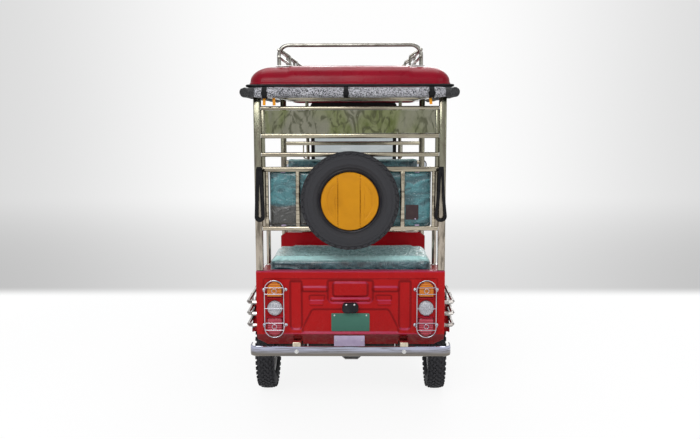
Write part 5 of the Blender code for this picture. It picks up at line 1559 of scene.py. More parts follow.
@dataclass
class CabFrame:
    """Polished tube frame of the cab: rear frame, roof frame and the frame behind the driver."""

    half: float = 0.49
    post: float = 0.037
    rear_y: float = -1.31
    bar_y: float = -1.306
    bar: float = 0.023
    foot: float = 0.7443
    rail_low: float = 1.646
    rail_top: float = 1.686
    mid_y: float = 0.048
    floor: float = 0.3885

    def build(self) -> None:
        """Make the three frames, the mirror sheet and the hanging loops."""
        self.rear()
        self.sheet()
        self.roof()
        self.middle()
        for sign in SIGNS:
            self.loop(sign)

    def rear(self) -> None:
        """Make the rear posts and bars with their weld beads and end caps."""
        posts, bars, welds = Shape(), Shape(), Shape()
        levels = ((0.954, 0.977), (1.258, 1.284), (1.335, 1.358), (1.429, 1.454), (1.572, 1.592))
        for sign in SIGNS:
            x = sign * (self.half - self.post / 2)
            y = self.rear_y + self.post / 2
            posts.join(Shape.bar((x, y, self.foot), (x, y, self.rail_low - GAP), self.post, self.post,
                                 0.0045))
            sleeve = sign * 0.4445
            posts.join(Shape.bar((sleeve, self.bar_y + 0.018, 0.962), (sleeve, self.bar_y + 0.018, 1.584),
                                 0.019, 0.022, 0.004))
            for upright, wide in ((0.4275, 0.017), (0.269, 0.022)):
                bars.join(Shape.bar((sign * upright, self.bar_y + 0.0115, 0.966),
                                    (sign * upright, self.bar_y + 0.0115, 1.268), wide, 0.019, 0.004))
            arm = rounded_path([(x, y, 0.966), (x, -0.87, 0.966), (x, -0.87, 0.7005)], 0.08, 12)
            posts.join(Shape.tube(arm, 0.0125, 20))
            base = rounded_box(0.022, -0.898, -0.845, 0.006, x - 0.004, 6)
            welds.join(Shape.slab(base, Axis.Z, 0.7002, 0.7035, 0.0008))
            line, weld_y = sign * (self.half - self.post + 0.0005), self.bar_y + 0.0005
            for low, high in levels:
                welds.join(Shape.rod((line, weld_y, low + 0.002), (line, weld_y, high - 0.002), 0.0022,
                                     sides=8, bevel=0.0008))
        for low, high in levels:
            middle = (low + high) / 2
            bars.join(Shape.bar((-0.4715, self.bar_y + self.bar / 2, middle),
                                (0.4715, self.bar_y + self.bar / 2, middle), high - low, self.bar, 0.0062))
        posts.piece("rear_posts", TUBE_STEEL, replaces=["rear_frame"], sharp=50)
        bars.piece("rear_bars", CROSS_STEEL, sharp=50)
        welds.piece("rear_frame_welds", ZINC)

    def sheet(self) -> None:
        """Make the polished sheet between the two top bars, dished a little between its ends."""
        low, high, half, y = 1.4545, 1.5715, 0.4345, -1.2938

        def dished(across: float, up: float) -> Point:
            """Place of a point of the sheet."""
            x = half * (2 * across - 1)
            return x, y + 0.0004 * math.sin(x * 31) * math.sin(math.pi * up), low + (high - low) * up

        shape = Shape.grid(80, 14, dished)
        shape.thicken(0.0010).tidy().piece("mirror_sheet", MIRROR_STEEL, replaces=["rear_sheet"])

    def roof(self) -> None:
        """Make the roof rails, headers, bows and windscreen posts."""
        rails, bows = Shape(), Shape()
        side_x = self.half - 0.020
        for sign in SIGNS:
            rails.join(Shape.block((sign * self.half, -1.3345, self.rail_low),
                                   (sign * (self.half - 0.040), 0.8195, self.rail_top), 0.0045, 3))
            rails.join(Shape.bar((sign * 0.3555, 0.9645, 0.9715), (sign * 0.3555, 0.802, 1.664), 0.025,
                                 0.025, 0.004))
            for y in (-1.3355, 0.8200):
                rails.join(Shape.block((sign * (side_x - 0.0185), y - 0.0012, self.rail_low + 0.0015),
                                       (sign * (side_x + 0.0185), y + 0.0008, self.rail_top - 0.0015),
                                       0.0006))
        for y in (-1.2915, -0.62, 0.0665, 0.80):
            bows.join(Shape.block((-side_x, y - 0.015, self.rail_low + 0.004),
                                  (side_x, y + 0.015, self.rail_top - 0.004), 0.005, 3))
        rails.piece("roof_rails", TUBE_STEEL, replaces=["roof_frame"], sharp=50)
        bows.piece("roof_bows", CROSS_STEEL, sharp=50)

    def middle(self) -> None:
        """Make the frame behind the driver, with its foot plates and the thin arm wires."""
        posts, bars = Shape(), Shape()
        y = self.mid_y + self.post / 2
        for sign in SIGNS:
            x = sign * (0.485 - self.post / 2)
            posts.join(Shape.bar((x, y, self.floor + GAP), (x, y, self.rail_low - GAP), self.post,
                                 self.post, 0.0045))
            posts.join(Shape.block((x - sign * 0.042, self.mid_y - 0.006, self.floor),
                                   (x + sign * 0.0180, self.mid_y + 0.043, self.floor + 0.004), 0.001))
            wire = rounded_path([(sign * 0.30, y, 1.362), (sign * 0.335, y + 0.03, 1.362),
                                 (sign * 0.335, y + 0.03, 1.262), (sign * 0.30, y, 1.240)], 0.016, 6)
            bars.join(Shape.tube(wire, 0.0045, 10))
        for low, high in ((0.7535, 0.762), (1.215, 1.240), (1.345, 1.370)):
            bars.join(Shape.block((-0.4665, self.mid_y + 0.0012, low),
                                  (0.4665, self.mid_y + self.post - 0.0012, high), 0.0035))
        posts.piece("middle_posts", TUBE_STEEL, replaces=["mid_frame"], sharp=50)
        bars.piece("middle_bars", CROSS_STEEL, sharp=50)

    def loop(self, sign: int) -> None:
        """Make one hanging strap loop, gathered at its top."""
        x, top, low = sign * 0.464, 1.2845, 1.0025
        band = 0.0088 if sign < 0 else 0.0070
        turned = 0.0085 if sign < 0 else 0.0
        rings = []
        path = rounded_path([(x - 0.006, 0, top - 0.008), (x - 0.0125, 0, 1.14),
                             (x - 0.0260 + turned, 0, low + band), (x + 0.0260 - turned, 0, low + band),
                             (x + 0.0125, 0, 1.14), (x + 0.006, 0, top - 0.008)], 0.022, 10, closed=True)
        count = len(path)
        for index, point in enumerate(path):
            ahead = (path[(index + 1) % count] - path[index - 1]).normalized()
            out = Vector((-ahead.z, 0, ahead.x))
            corners = ((-band, -0.0098), (band, -0.0070), (band, 0.0070), (-band, 0.0098))
            rings.append([(point.x + out.x * across, -1.3203 + deep, point.z + out.z * across)
                          for across, deep in corners])
        strap = Shape.loft(rings, closed=True).bevel(0.0016, 2, 60)
        strap.join(Shape.block((x - 0.0125, -1.3303, 1.268), (x + 0.0125, -1.3103, 1.2845), 0.0015))
        for stitch in (1.2725, 1.2800):
            strap.join(Shape.block((x - 0.0100, -1.3308, stitch - 0.0006),
                                   (x + 0.0100, -1.3300, stitch + 0.0006)))
        strap.piece(f"hanging_loop_{side_name(sign)}", BLACK_WEBBING,
                    replaces=[f"grab_loop_{side_name(sign)}"])


@dataclass
class Roof:
    """Moulded roof with its trim, the tube rack, the rolled curtains and their straps."""

    half: float = 0.51
    rear: float = -1.36
    front: float = 1.05
    base: float = 1.7000
    top: float = 1.795
    header: float = 0.80
    rack_half: float = 0.365
    rack_top: float = 1.903

    def build(self) -> None:
        """Make everything above the frame."""
        self.shell()
        self.trim()
        self.rack()
        self.curtains()
        self.tags()

    def outline(self, inset: float) -> list[Vector]:
        """Outline of the roof at a distance inside its edge."""
        half, low, high = self.half - inset, self.rear + inset, self.front - inset
        radius = max(0.085 - inset * 0.6, 0.02)
        corners = []
        spans = ((-half, low, half, low, 34), (half, low, half, high, 60), (half, high, -half, high, 34),
                 (-half, high, -half, low, 60))
        for start_x, start_y, end_x, end_y, parts in spans:
            long = math.hypot(end_x - start_x, end_y - start_y)
            along = Vector(((end_x - start_x) / long, (end_y - start_y) / long, 0))
            start = Vector((start_x, start_y, 0)) + along * radius
            corners += [start + along * (long - 2 * radius) * step / parts for step in range(parts)]
            middle = Vector((end_x, end_y, 0)) - along * radius + Vector((-along.y, along.x, 0)) * radius
            for step in range(8):
                turn = Matrix.Rotation(math.pi / 2 * step / 8, 3, "Z")
                corners.append(middle + turn @ Vector((along.y, -along.x, 0)) * radius)
        return corners

    def shell(self) -> None:
        """Make the roof's skin: round shoulders, a raised middle, an edge flange and the dropped visor."""
        shoulder, tall = 0.105, self.top - self.base
        quarter = [math.pi / 2 * step / 14 for step in range(1, 15)]
        steps = [(0.0, 0.0), (0.0, 0.006), (0.0035, 0.0095), (0.0045, 0.016)]
        steps += [(0.0045 + shoulder * (1 - math.cos(angle)) ** 0.9,
                   0.016 + (tall - 0.016) * math.sin(angle) ** 0.92) for angle in quarter]
        last = steps[-1][0]
        steps += [(last + reach, tall) for reach in (0.03, 0.06)]
        shape = Shape.loft([[(spot.x, spot.y, self.base + rise) for spot in self.outline(inset)]
                            for inset, rise in steps], caps=(-1,))
        lengthwise = [sign * edge for edge in (0.289, 0.2975, 0.306, 0.3145) for sign in SIGNS]
        for x in lengthwise + [0.04 * step for step in range(-6, 7)]:
            shape.cut((x, 0, 0), (1, 0, 0))
        for step in range(4, 37):
            shape.cut((0, self.rear + 0.06 * step, 0), (0, 1, 0))
        visor = self.header + 0.025

        def shift(spot: Vector) -> Vector:
            """Raise the middle of the roof and drop its visor."""
            rise = (spot.z - self.base) / tall
            ends = eased((0.85 - spot.y) / 0.10)
            middle = eased((0.306 - abs(spot.x)) / 0.016 + 0.5) * eased((rise - 0.22) / 0.5) * ends
            crown = 0.0030 * rise * max(1 - (spot.x / self.half) ** 2, 0.0) * ends
            share = max((spot.y - visor) / (self.front - visor), 0.0)
            back = -0.0045 * middle * eased((self.rear + 0.10 - spot.y) / 0.08)
            return Vector((0, back, 0.0040 * middle + crown - 0.0070 * rise - 0.06 * share ** 1.5))

        shape.displaced(shift).thicken(0.003).tidy()
        shape.piece("roof_skin", ROOF_PAINT, replaces=["roof_shell"], sharp=55)

    def trim(self) -> None:
        """Make the black rubber edge and the headliner behind it."""
        low, high = -1.3735, 0.7945
        rim = rounded_box(0.518, low + 0.006, high - 0.006, 0.05, steps=10)
        shape = Shape.tube([Vector((x, y, 1.6932)) for x, y in rim], 0.0064, 14, closed=True)
        lining = Shape.slab(rounded_box(0.514, low + 0.010, high - 0.010, 0.045), Axis.Z, 1.6895, 1.6975,
                            holes=[rounded_box(0.445, low + 0.08, high - 0.02, 0.02)])
        shape.join(lining).piece("roof_edge_rubber", BLACK_RUBBER, replaces=["roof_trim"], sharp=50)
        inside = Shape.block((-0.452, -1.27, 1.7010), (0.452, 0.775, 1.7030), 0.0008)
        for x in (-0.225, 0.0, 0.225):
            inside.join(Shape.block((x - 0.006, -1.27, 1.6985), (x + 0.006, 0.775, 1.7015), 0.001))
        inside.piece("roof_lining", ROOF_LINING)

    def rack(self) -> None:
        """Make the rack: hoops, side rails, braces and feet."""
        shape, feet = Shape(), Shape()
        foot = 1.7958
        half, top, rear = self.rack_half, self.rack_top, -1.21
        hoop = rounded_path([(-half, rear, foot), (-half, rear, top), (half, rear, top),
                             (half, rear, foot)], 0.060, 12)
        shape.join(Shape.tube(hoop, 0.0100, 20))
        for sign in SIGNS:
            x = sign * (half - 0.001)
            for z in (1.878, 1.843):
                shape.join(Shape.rod((x, -1.2295, z), (x, -0.2305, z), 0.0085, sides=20, bevel=0.003))
            for y in (rear, -0.73, -0.25):
                if y > rear:
                    shape.join(Shape.rod((x, y, foot), (x, y, 1.880), 0.0080, sides=20))
                brace = rounded_path([(x, y + 0.010, 1.885), (x - sign * 0.055, y + 0.016, 1.846),
                                      (x - sign * 0.055, y + 0.016, foot)], 0.012, 5)
                shape.join(Shape.tube(brace, 0.0062, 12))
                feet.join(Shape.block((x - sign * 0.078, y - 0.024, 1.7953),
                                      (x + sign * 0.018, y + 0.032, 1.7985), 0.001))
                for spot in (-0.016, 0.024):
                    feet.join(hexagon_bolt((x - sign * 0.030, y + spot, 1.7985), Axis.Z, 1, 0.005, 0.0035))
        shape.piece("rack_tubes", RACK_STEEL, replaces=["roof_rack"], sharp=50)
        feet.piece("rack_feet", ZINC)

    def roll(self, start: Point, end: Point, radius: float, laps: float = 3.2) -> Shape:
        """Make a rolled-up cloth with its spiral ends and soft waves along it.

        Args:
            start: Middle of the first end.
            end: Middle of the last end.
            radius: Outer radius.
            laps: Turns of the spiral that shows at the ends.

        Returns:
            The roll.
        """
        first, last = Vector(start), Vector(end)
        long = (last - first).length
        parts = max(int(long / 0.022), 8)
        sides = 36
        turn = (last - first).to_track_quat("Z", "Y").to_matrix()
        rings = []
        for part in range(parts + 1):
            spot = long * part / parts
            ring = []
            for side in range(sides):
                angle = 2 * math.pi * side / sides
                wave = math.sin(spot * 23 + 2.0 * math.sin(angle * 2)) * math.cos(angle * 3 + spot * 9)
                reach = radius * (0.972 + 0.026 * wave) - (0.0030 if part in (0, parts) else 0.0)
                ring.append(first + turn @ Vector((reach * math.cos(angle), reach * math.sin(angle), spot)))
            rings.append(ring)
        shape = Shape.loft(rings)
        for near, out in ((first, -1), (last, 1)):
            spiral = []
            for step in range(int(laps * 20)):
                angle = 2 * math.pi * step / 20
                reach = radius * (0.15 + 0.75 * step / (laps * 20))
                place = Vector((reach * math.cos(angle), reach * math.sin(angle), out * 0.0004))
                spiral.append(near + turn @ place)
            shape.join(Shape.tube(spiral, 0.0013, 6))
        return shape

    def curtains(self) -> None:
        """Make the grey roll behind and the black rolls along both sides, with straps round them."""
        y, z, radius, side = -1.3640, 1.6590, 0.0268, 0.522
        back = self.roll((-0.476, y, z), (0.476, y, z), radius)
        back = back.piece("rear_curtain_roll", CURTAIN, replaces=["curtain_rolls"])
        ends = Shape()
        for sign in SIGNS:
            ends.join(self.roll((sign * 0.4755, y, z), (sign * 0.508, y, z), radius * 0.97))
            ends.join(self.roll((sign * side, -1.3980, z), (sign * side, 0.298, z), 0.0258))
        ends = ends.piece("side_curtain_rolls", BLACK_CLOTH)
        straps = Shape()
        hoop = [(0.0296 * across, 0.0290 * up) for across, up in circle(1.0, 32)]
        outer = [(y + across, z + up) for across, up in hoop]
        inner = [(y + across * 0.93, z + up * 0.93) for across, up in hoop]
        for x, wide in ((-0.4240, 0.024), (-0.0180, 0.022), (0.4070, 0.026)):
            straps.join(Shape.slab(outer, Axis.X, x - wide / 2, x + wide / 2, holes=[inner]),
                        Shape.block((x - wide * 0.62, y - 0.0318, z - 0.016),
                                    (x + wide * 0.62, y - 0.0285, z + 0.004), 0.001))
        for sign in SIGNS:
            outer, inner = (circle(reach, 32, sign * side, z) for reach in (0.0270, 0.0250))
            for spot in (-1.10, -0.62, -0.14, 0.22):
                straps.join(Shape.slab(outer, Axis.Y, spot - 0.011, spot + 0.011, holes=[inner]))
        straps.piece("curtain_straps", BLACK_WEBBING, sharp=50)

    def tags(self) -> None:
        """Make the three orange tie tags that hang below the rear roll."""
        shape = Shape()
        for x, lean, low in ((-0.4270, 0.05, 1.5955), (-0.3800, -0.04, 1.5950), (0.4020, -0.12, 1.5990)):
            tag = Shape.block((-0.0072, -0.0009, low - 1.636), (0.0072, 0.0009, 0.0), 0.0005)
            turn = Matrix.Translation((x, -1.3545, 1.636)) @ Matrix.Rotation(lean, 4, "Y")
            shape.join(tag.move(turn))
        shape.piece("tie_tags", AMBER_TAG)


@dataclass
class Cushions:
    """Six cushions, blown up by cloth simulation and closed by a piping."""

    voxel: float = 0.0085
    pressure: float = 4.0
    fold: float = 0.00064

    def build(self) -> None:
        """Make the cushions of both benches and of the driver's seat."""
        seat, back = (0.014, 0.74), (0.009, 0.85)
        self.pad("rear_seat_pad", "rear_seat_cushion", SEAT_WRAP, *seat)
        self.pad("rear_back_pad", "rear_backrest", BACK_WRAP, *back)
        self.pad("front_bench_pad", "front_bench_cushion", SEAT_WRAP, *seat)
        self.pad("front_bench_back_pad", "front_bench_backrest", INNER_WRAP, *back)
        self.pad("driver_pad", "driver_cushion", SEAT_WRAP, *seat)
        self.pad("driver_back_pad", "driver_backrest", INNER_WRAP, *back)
        self.patch()

    def patch(self) -> None:
        """Put the dark patch with its pale rivet and the pale clips on the rear backrest."""
        patch = Shape.slab(rounded_box(0.0335, 1.009, 1.086, 0.003, 0.3190), Axis.Y, -1.2838, -1.2826,
                           0.0004, 1)
        patch.piece("backrest_patch", SEAT_PATCH)
        clips = round_screw((0.336, -1.2838, 1.0125), Axis.Y, 0.0042)
        for x in (-0.345, 0.345):
            for z in (1.2555, 0.9795):
                clips.join(Shape.block((x - 0.012, -1.2840, z - 0.0035), (x + 0.012, -1.2800, z + 0.0035),
                                       0.001))
        clips.piece("backrest_clips", PALE_SIGN)

    def pad(self, name: str, node: str, finish: WrappedVinyl, swell: float, fill: float) -> None:
        """Make one cushion inside the room of its solid.

        Args:
            name: Name of the piece.
            node: Solid that it stands for.
            finish: Its finish.
            swell: How far a point may move as the cushion is blown up.
            fill: How tightly it is stuffed. Not used.
        """
        low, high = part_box(node)
        size = high - low
        upright = size.z > size.y
        inset = Vector((swell, swell, swell)) * 0.62
        start = low + (inset if upright else Vector((inset.x, inset.y, 0.0006)))
        block = Shape.block(start, high - inset, min(size) * 0.30, 4)
        piece = block.piece(name, finish, replaces=[node], sharp=180)
        self.bake(piece, "REMESH", mode="VOXEL", voxel_size=self.voxel)
        self.blow(piece, swell)
        for vert in piece.data.vertices:
            if upright:
                vert.co.y += self.fold * noise.ridged_multi_fractal(vert.co * 9.0, 1.0, 2.1, 2, 1.0, 2.0)
            vert.co = held(vert.co, low, high)
        self.bake(piece, "SUBSURF", levels=1, render_levels=1)
        piece.data.shade_smooth()
        self.piping(piece, low, high, upright, finish)

    def blow(self, piece: bpy.types.Object, swell: float) -> None:
        """Blow a cushion up as cloth under pressure, no point moving further than it may."""
        home = [vert.co.copy() for vert in piece.data.vertices]
        cloth = piece.modifiers.new("blow", "CLOTH")
        cloth.settings.use_pressure = True
        cloth.settings.uniform_pressure_force = self.pressure
        cloth.settings.effector_weights.gravity = 0.0
        cloth.point_cache.frame_end = 20
        for step in range(1, 21):
            bpy.context.scene.frame_set(step)
        self.settle(piece)
        bpy.context.scene.frame_set(1)
        for vert, start in zip(piece.data.vertices, home):
            moved = vert.co - start
            if moved.length > swell:
                vert.co = start + moved.normalized() * swell

    def bake(self, piece: bpy.types.Object, kind: str, **settings: object) -> None:
        """Apply one modifier to a piece's mesh."""
        made = piece.modifiers.new("step", kind)
        for key, value in settings.items():
            setattr(made, key, value)
        self.settle(piece)

    @staticmethod
    def settle(piece: bpy.types.Object) -> None:
        """Turn what a piece's modifiers show into its mesh."""
        bpy.context.view_layer.update()
        made = bpy.data.meshes.new_from_object(piece.evaluated_get(bpy.context.evaluated_depsgraph_get()))
        old, piece.data = piece.data, made
        piece.modifiers.clear()
        bpy.data.meshes.remove(old)

    @staticmethod
    def piping(piece: bpy.types.Object, low: Vector, high: Vector, upright: bool,
               finish: WrappedVinyl) -> None:
        """Sew a piping on the cushion's cover, along its surface."""
        bpy.context.view_layer.update()
        half, middle = (high.x - low.x) / 2, (low.x + high.x) / 2
        if upright:
            edge = rounded_box(half - 0.020, low.z + 0.020, high.z - 0.020, 0.03, middle, 8)
            outlines = [[Vector((x, y, z)) for x, z in edge] for y in (low.y, high.y)]
        else:
            edge = rounded_box(half, low.y, high.y, 0.03, middle, 8)
            outlines = [[Vector((x, y, z)) for x, y in edge] for z in (low.z + 0.020, high.z - 0.012)]
        shape = Shape()
        for outline in outlines:
            ring = []
            for start, end in zip(outline, outline[1:] + outline[:1]):
                parts = max(int((end - start).length / 0.02), 1)
                for step in range(parts):
                    _, spot, normal, _ = piece.closest_point_on_mesh(start.lerp(end, step / parts))
                    ring.append(spot - normal * 0.0006)
            shape.join(Shape.tube(ring, 0.0021, 8, closed=True))
        shape.displaced(lambda spot: held(spot, low, high) - spot)
        shape.piece(f"{piece.name}_piping", finish)


@dataclass
class Coachwork:
    """Trim on the pressed body: rubber beads, bright strips, fixings, mats and a hatch."""

    half: float = 0.487
    box_half: float = 0.4474

    def build(self) -> None:
        """Make the trim of the body and of the floor."""
        self.arches()
        self.strips()
        self.mats()
        self.hatch()

    def arches(self) -> None:
        """Make the rubber bead round both wheel arches."""
        beads = Shape()
        for sign in SIGNS:
            arc = wheel_arc((sign * 0.5275, AXLE_Y, HUB_Z), 0.2955, 28.5, 151.5)
            beads.join(Shape.tube(arc, 0.0045, 10))
        beads.piece("arch_beads", BLACK_RUBBER)

    def strips(self) -> None:
        """Make the bright strips along the seat edges and the sills, with their screws."""
        strips, screws, vents = Shape(), Shape(), Shape()
        for sign in SIGNS:
            for half, low, high, z in ((self.half, -1.29, -0.850, 0.676), (self.box_half, -0.35, 0.43, 0.552),
                                       (0.488, -0.600, 0.790, 0.353)):
                strips.join(Shape.block((sign * half, low, z), (sign * (half + 0.0030), high, z + 0.018),
                                        0.0010))
                count = max(int((high - low) / 0.16), 3)
                for step in range(count):
                    spot = low + 0.02 + (high - low - 0.04) * step / (count - 1)
                    screws.join(round_screw((sign * (half + 0.0030), spot, z + 0.009), Axis.X, 0.0042))
            for row in range(5):
                z = 0.430 + 0.019 * row
                vents.join(Shape.block((sign * (self.box_half - 0.0005), -0.28, z),
                                       (sign * (self.box_half + 0.0028), -0.06, z + 0.007), 0.0012))
            for x in (0.10, 0.28):
                screws.join(hexagon_bolt((sign * x, -0.840, 0.52), Axis.Y, 1, 0.005, 0.0035))
        strips.piece("bright_strips", GUARD_STEEL)
        screws.piece("body_screws", ZINC)
        vents.piece("box_louvres", BLACK_PLASTIC)

    def mats(self) -> None:
        """Make the floor mats between the seats and in front of the driver, with their edge strips."""
        mats, edges = Shape(), Shape()
        for low, high, half in ((-0.832, -0.368, 0.470), (0.448, 0.789, 0.470)):
            mats.join(Shape.block((-half, low, 0.3884), (half, high, 0.3920), 0.0010))
            for step in range(int((high - low - 0.03) / 0.022)):
                y = low + 0.02 + 0.022 * step
                mats.join(Shape.block((-half + 0.02, y, 0.3915), (half - 0.02, y + 0.009, 0.3940), 0.0010, 1))
            for sign in SIGNS:
                edges.join(Shape.block((sign * half, low, 0.3884), (sign * 0.4875, high, 0.3915), 0.0010))
        mats.piece("floor_mats", FLOOR_MAT)
        edges.piece("floor_edges", GUARD_STEEL)

    def hatch(self) -> None:
        """Make the hatch in the front box, its latch, and the pressed frame on the leg shield."""
        door, metal, frame_lines = Shape(), Shape(), Shape()
        door.join(Shape.slab(rounded_box(0.205, 0.410, 0.548, 0.014), Axis.Y, 0.4405, 0.4435, 0.0010))
        frame_lines.join(Shape.slab(rounded_box(0.300, 0.425, 0.545, 0.03), Axis.Y, -0.3635, -0.3605, 0.0010,
                                    holes=[rounded_box(0.288, 0.437, 0.533, 0.022)]))
        for sign in SIGNS:
            frame_lines.join(Shape.slab(rounded_box(0.135, 0.470, 0.740, 0.03, sign * 0.22), Axis.Y,
                                        0.7935, 0.7968, 0.0010,
                                        holes=[rounded_box(0.123, 0.482, 0.728, 0.022, sign * 0.22)]))
            metal.join(Shape.rod((sign * 0.13, 0.4450, 0.5500), (sign * 0.07, 0.4450, 0.5500), 0.0042,
                                 sides=14))
        metal.join(Shape.rod((0, 0.4430, 0.440), (0, 0.4500, 0.440), 0.011, sides=28, bevel=0.001))
        metal.join(Shape.block((-0.004, 0.4490, 0.430), (0.004, 0.4520, 0.450), 0.001))
        door.join(frame_lines).piece("body_panels", BODY_PAINT)
        metal.piece("hatch_latch", ZINC)


@dataclass
class GuardFixings:
    """Flanges, welds and bolts of the side guards."""

    rows: tuple[float, ...] = (0.569, 0.508, 0.446)
    rail_x: float = 0.541
    body_x: float = 0.4874
    rear: float = -1.27
    straps: tuple[float, ...] = (-1.08, -0.89)

    def build(self) -> None:
        """Make the flanges with their screws, and the weld beads at the straps, of both guards."""
        flanges, bolts, welds = Shape(), Shape(), Shape()
        for sign in SIGNS:
            feet = [(self.rear, z) for z in self.rows] + [(-0.87, self.rows[0])]
            for y, z in feet:
                flanges.join(Shape.rod((sign * self.body_x, y, z), (sign * (self.body_x + 0.0025), y, z),
                                       0.0175, sides=28, bevel=0.0006))
                for turn in (0.8, 2.9, 5.0):
                    spot = (sign * (self.body_x + 0.0024), y + 0.0138 * math.cos(turn),
                            z + 0.0138 * math.sin(turn))
                    bolts.join(round_screw(spot, Axis.X, 0.0024))
            for y in self.straps:
                for z in self.rows:
                    for edge in (-0.012, 0.012):
                        ring = [Vector((sign * (self.rail_x + across), y + edge, z + up))
                                for across, up in circle(0.0098, 14)]
                        welds.join(Shape.tube(ring, 0.0010, 6, closed=True))
        flanges.piece("guard_flanges", GUARD_STEEL)
        bolts.piece("guard_bolts", ZINC)
        welds.piece("guard_welds", GUARD_STEEL)


@dataclass
class Nose:
    """Headlamp, turn lamps, grille, bright bands, dash, wiper and windscreen screws."""

    lamp_y: float = 1.09
    lamp_z: float = 0.75

    def build(self) -> None:
        """Make the lamps and the trim of the nose."""
        self.headlamp()
        self.turn_lamps()
        self.trim()
        self.dash()

    def headlamp(self) -> None:
        """Make the headlamp's bowl, rim and ribbed lens."""
        place = Matrix.Translation((0, self.lamp_y, self.lamp_z))
        bowl = [(0.060, 0.0005), (0.076, 0.012), (0.0815, 0.045), (0.0825, 0.088), (0.0845, 0.091),
                (0.0848, 0.104), (0.0825, 0.111), (0.0775, 0.113), (0.0755, 0.110), (0.0755, 0.095),
                (0.060, 0.080), (0.060, 0.0005)]
        Shape.lathe(bowl, Axis.Y, 72).move(place).piece("headlamp_bowl", CHROME, replaces=["headlamp"],
                                                        sharp=50)
        lens = [(0.0, 0.1276), (0.020, 0.1266), (0.040, 0.1238), (0.058, 0.1188), (0.070, 0.1135),
                (0.0753, 0.108), (0.0753, 0.100), (0.0, 0.100)]
        Shape.lathe(lens, Axis.Y, 64).move(place).piece("headlamp_lens", CLEAR_LENS)
        bolts = Shape()
        for angle in (0.5, 2.6, 4.71):
            bolts.join(round_screw((0.080 * math.cos(angle), self.lamp_y + 0.1125,
                                    self.lamp_z + 0.080 * math.sin(angle)), Axis.Y, 0.0035))
        bolts.piece("headlamp_screws", ZINC)

    def turn_lamps(self) -> None:
        """Make the round turn lamps over their sockets in the cowl."""
        rim = [(0.0335, 1.080), (0.0368, 1.100), (0.0368, 1.150), (0.0350, 1.1555), (0.0325, 1.1555),
               (0.0325, 1.080)]
        lens = [(0.0, 1.1800), (0.012, 1.1790), (0.023, 1.1755), (0.0310, 1.1690), (0.0340, 1.1610),
                (0.0340, 1.1530), (0.0, 1.1530)]
        rims, lenses = Shape(), Shape()
        for sign in SIGNS:
            place = Matrix.Translation((sign * 0.27, 0, self.lamp_z))
            rims.join(Shape.lathe(rim, Axis.Y, 48, closed=True).move(place))
            lenses.join(Shape.lathe(lens, Axis.Y, 48).move(place))
        rims.piece("turn_lamp_rims", CHROME, sharp=50)
        lenses.piece("turn_lamp_lenses", AMBER_LENS)

    def trim(self) -> None:
        """Make the bright bands on the cowl and the grille below the lamp."""
        sections = ((0.585, 0.300, 0.300, 0.60), (0.66, 0.360, 0.355, 0.60), (0.75, 0.385, 0.385, 0.60),
                    (0.84, 0.390, 0.350, 0.55), (0.91, 0.390, 0.250, 0.45), (0.955, 0.385, 0.175, 0.35))

        def skin(angle: float, z: float, out: float) -> Vector:
            """Point on the cowl at an angle from its middle, some way out from the skin."""
            for before, after in zip(sections, sections[1:]):
                if z <= after[0]:
                    break
            share = (z - before[0]) / (after[0] - before[0])
            half, depth, power = (before[index] + (after[index] - before[index]) * share
                                  for index in (1, 2, 3))
            x = (half + out) * math.copysign(abs(math.sin(angle)) ** 0.8, angle)
            return Vector((x, 0.8003 + (depth + out) * math.cos(angle) ** power, z))

        bands, grille = Shape(), Shape()
        for z, reach in ((0.602, 1.30), (0.905, 1.36)):
            path = [skin(reach * (2 * step / 48 - 1), z, 0.0010) for step in range(49)]
            bands.join(Shape.tube(path, 0.0042, 10))
        for row in range(4):
            z = 0.618 + 0.011 * row
            path = [skin(0.20 * (2 * step / 16 - 1), z, 0.0008) for step in range(17)]
            grille.join(Shape.tube(path, 0.0026, 8))
        bands.piece("cowl_bands", CHROME)
        grille.piece("nose_grille", BLACK_PLASTIC)

    def dash(self) -> None:
        """Make the dash binnacle with its dial, switches and the wiper on the windscreen."""
        case, dial, knobs = Shape(), Shape(), Shape()
        case.join(Shape.slab(rounded_box(0.062, 0.9672, 0.9995, 0.010), Axis.Y, 0.913, 0.937, 0.003, 3))
        dial.join(Shape.rod((0, 0.9135, 0.983), (0, 0.9120, 0.983), 0.0125, sides=48, bevel=0.0005))
        for x in (-0.047, 0.047):
            dial.join(Shape.rod((x, 0.9135, 0.983), (x, 0.9120, 0.983), 0.007, sides=24))
        for x in (-0.30, -0.26, -0.22, 0.22, 0.26, 0.30):
            knobs.join(Shape.block((x - 0.011, 0.925, 0.9672), (x + 0.011, 0.945, 0.9760), 0.002))
        case.join(knobs).piece("dash_binnacle", BLACK_PLASTIC, sharp=50)
        dial.piece("dash_dials", CLEAR_LENS)
        lean = Matrix.Translation((0, 0.965, 0.9673)) @ Matrix.Rotation(0.2331, 4, "X")
        wiper = Shape.rod((0.0, 0.0075, 0.012), (0.0, 0.0160, 0.012), 0.010, sides=24, bevel=0.001)
        wiper.join(Shape.bar((0.0, 0.0150, 0.012), (-0.150, 0.0125, 0.190), 0.007, 0.003, 0.0008),
                   Shape.bar((-0.080, 0.0080, 0.075), (-0.215, 0.0080, 0.292), 0.006, 0.007, 0.0012))
        wiper.move(lean).piece("windscreen_wiper", BLACK_RUBBER)
        bolts = Shape()
        for sign in SIGNS:
            for z in (0.05, 0.23, 0.41, 0.59):
                bolts.join(round_screw((sign * 0.318, 0.0070, z), Axis.Y, 0.0045))
        bolts.move(lean).piece("windscreen_screws", ZINC)


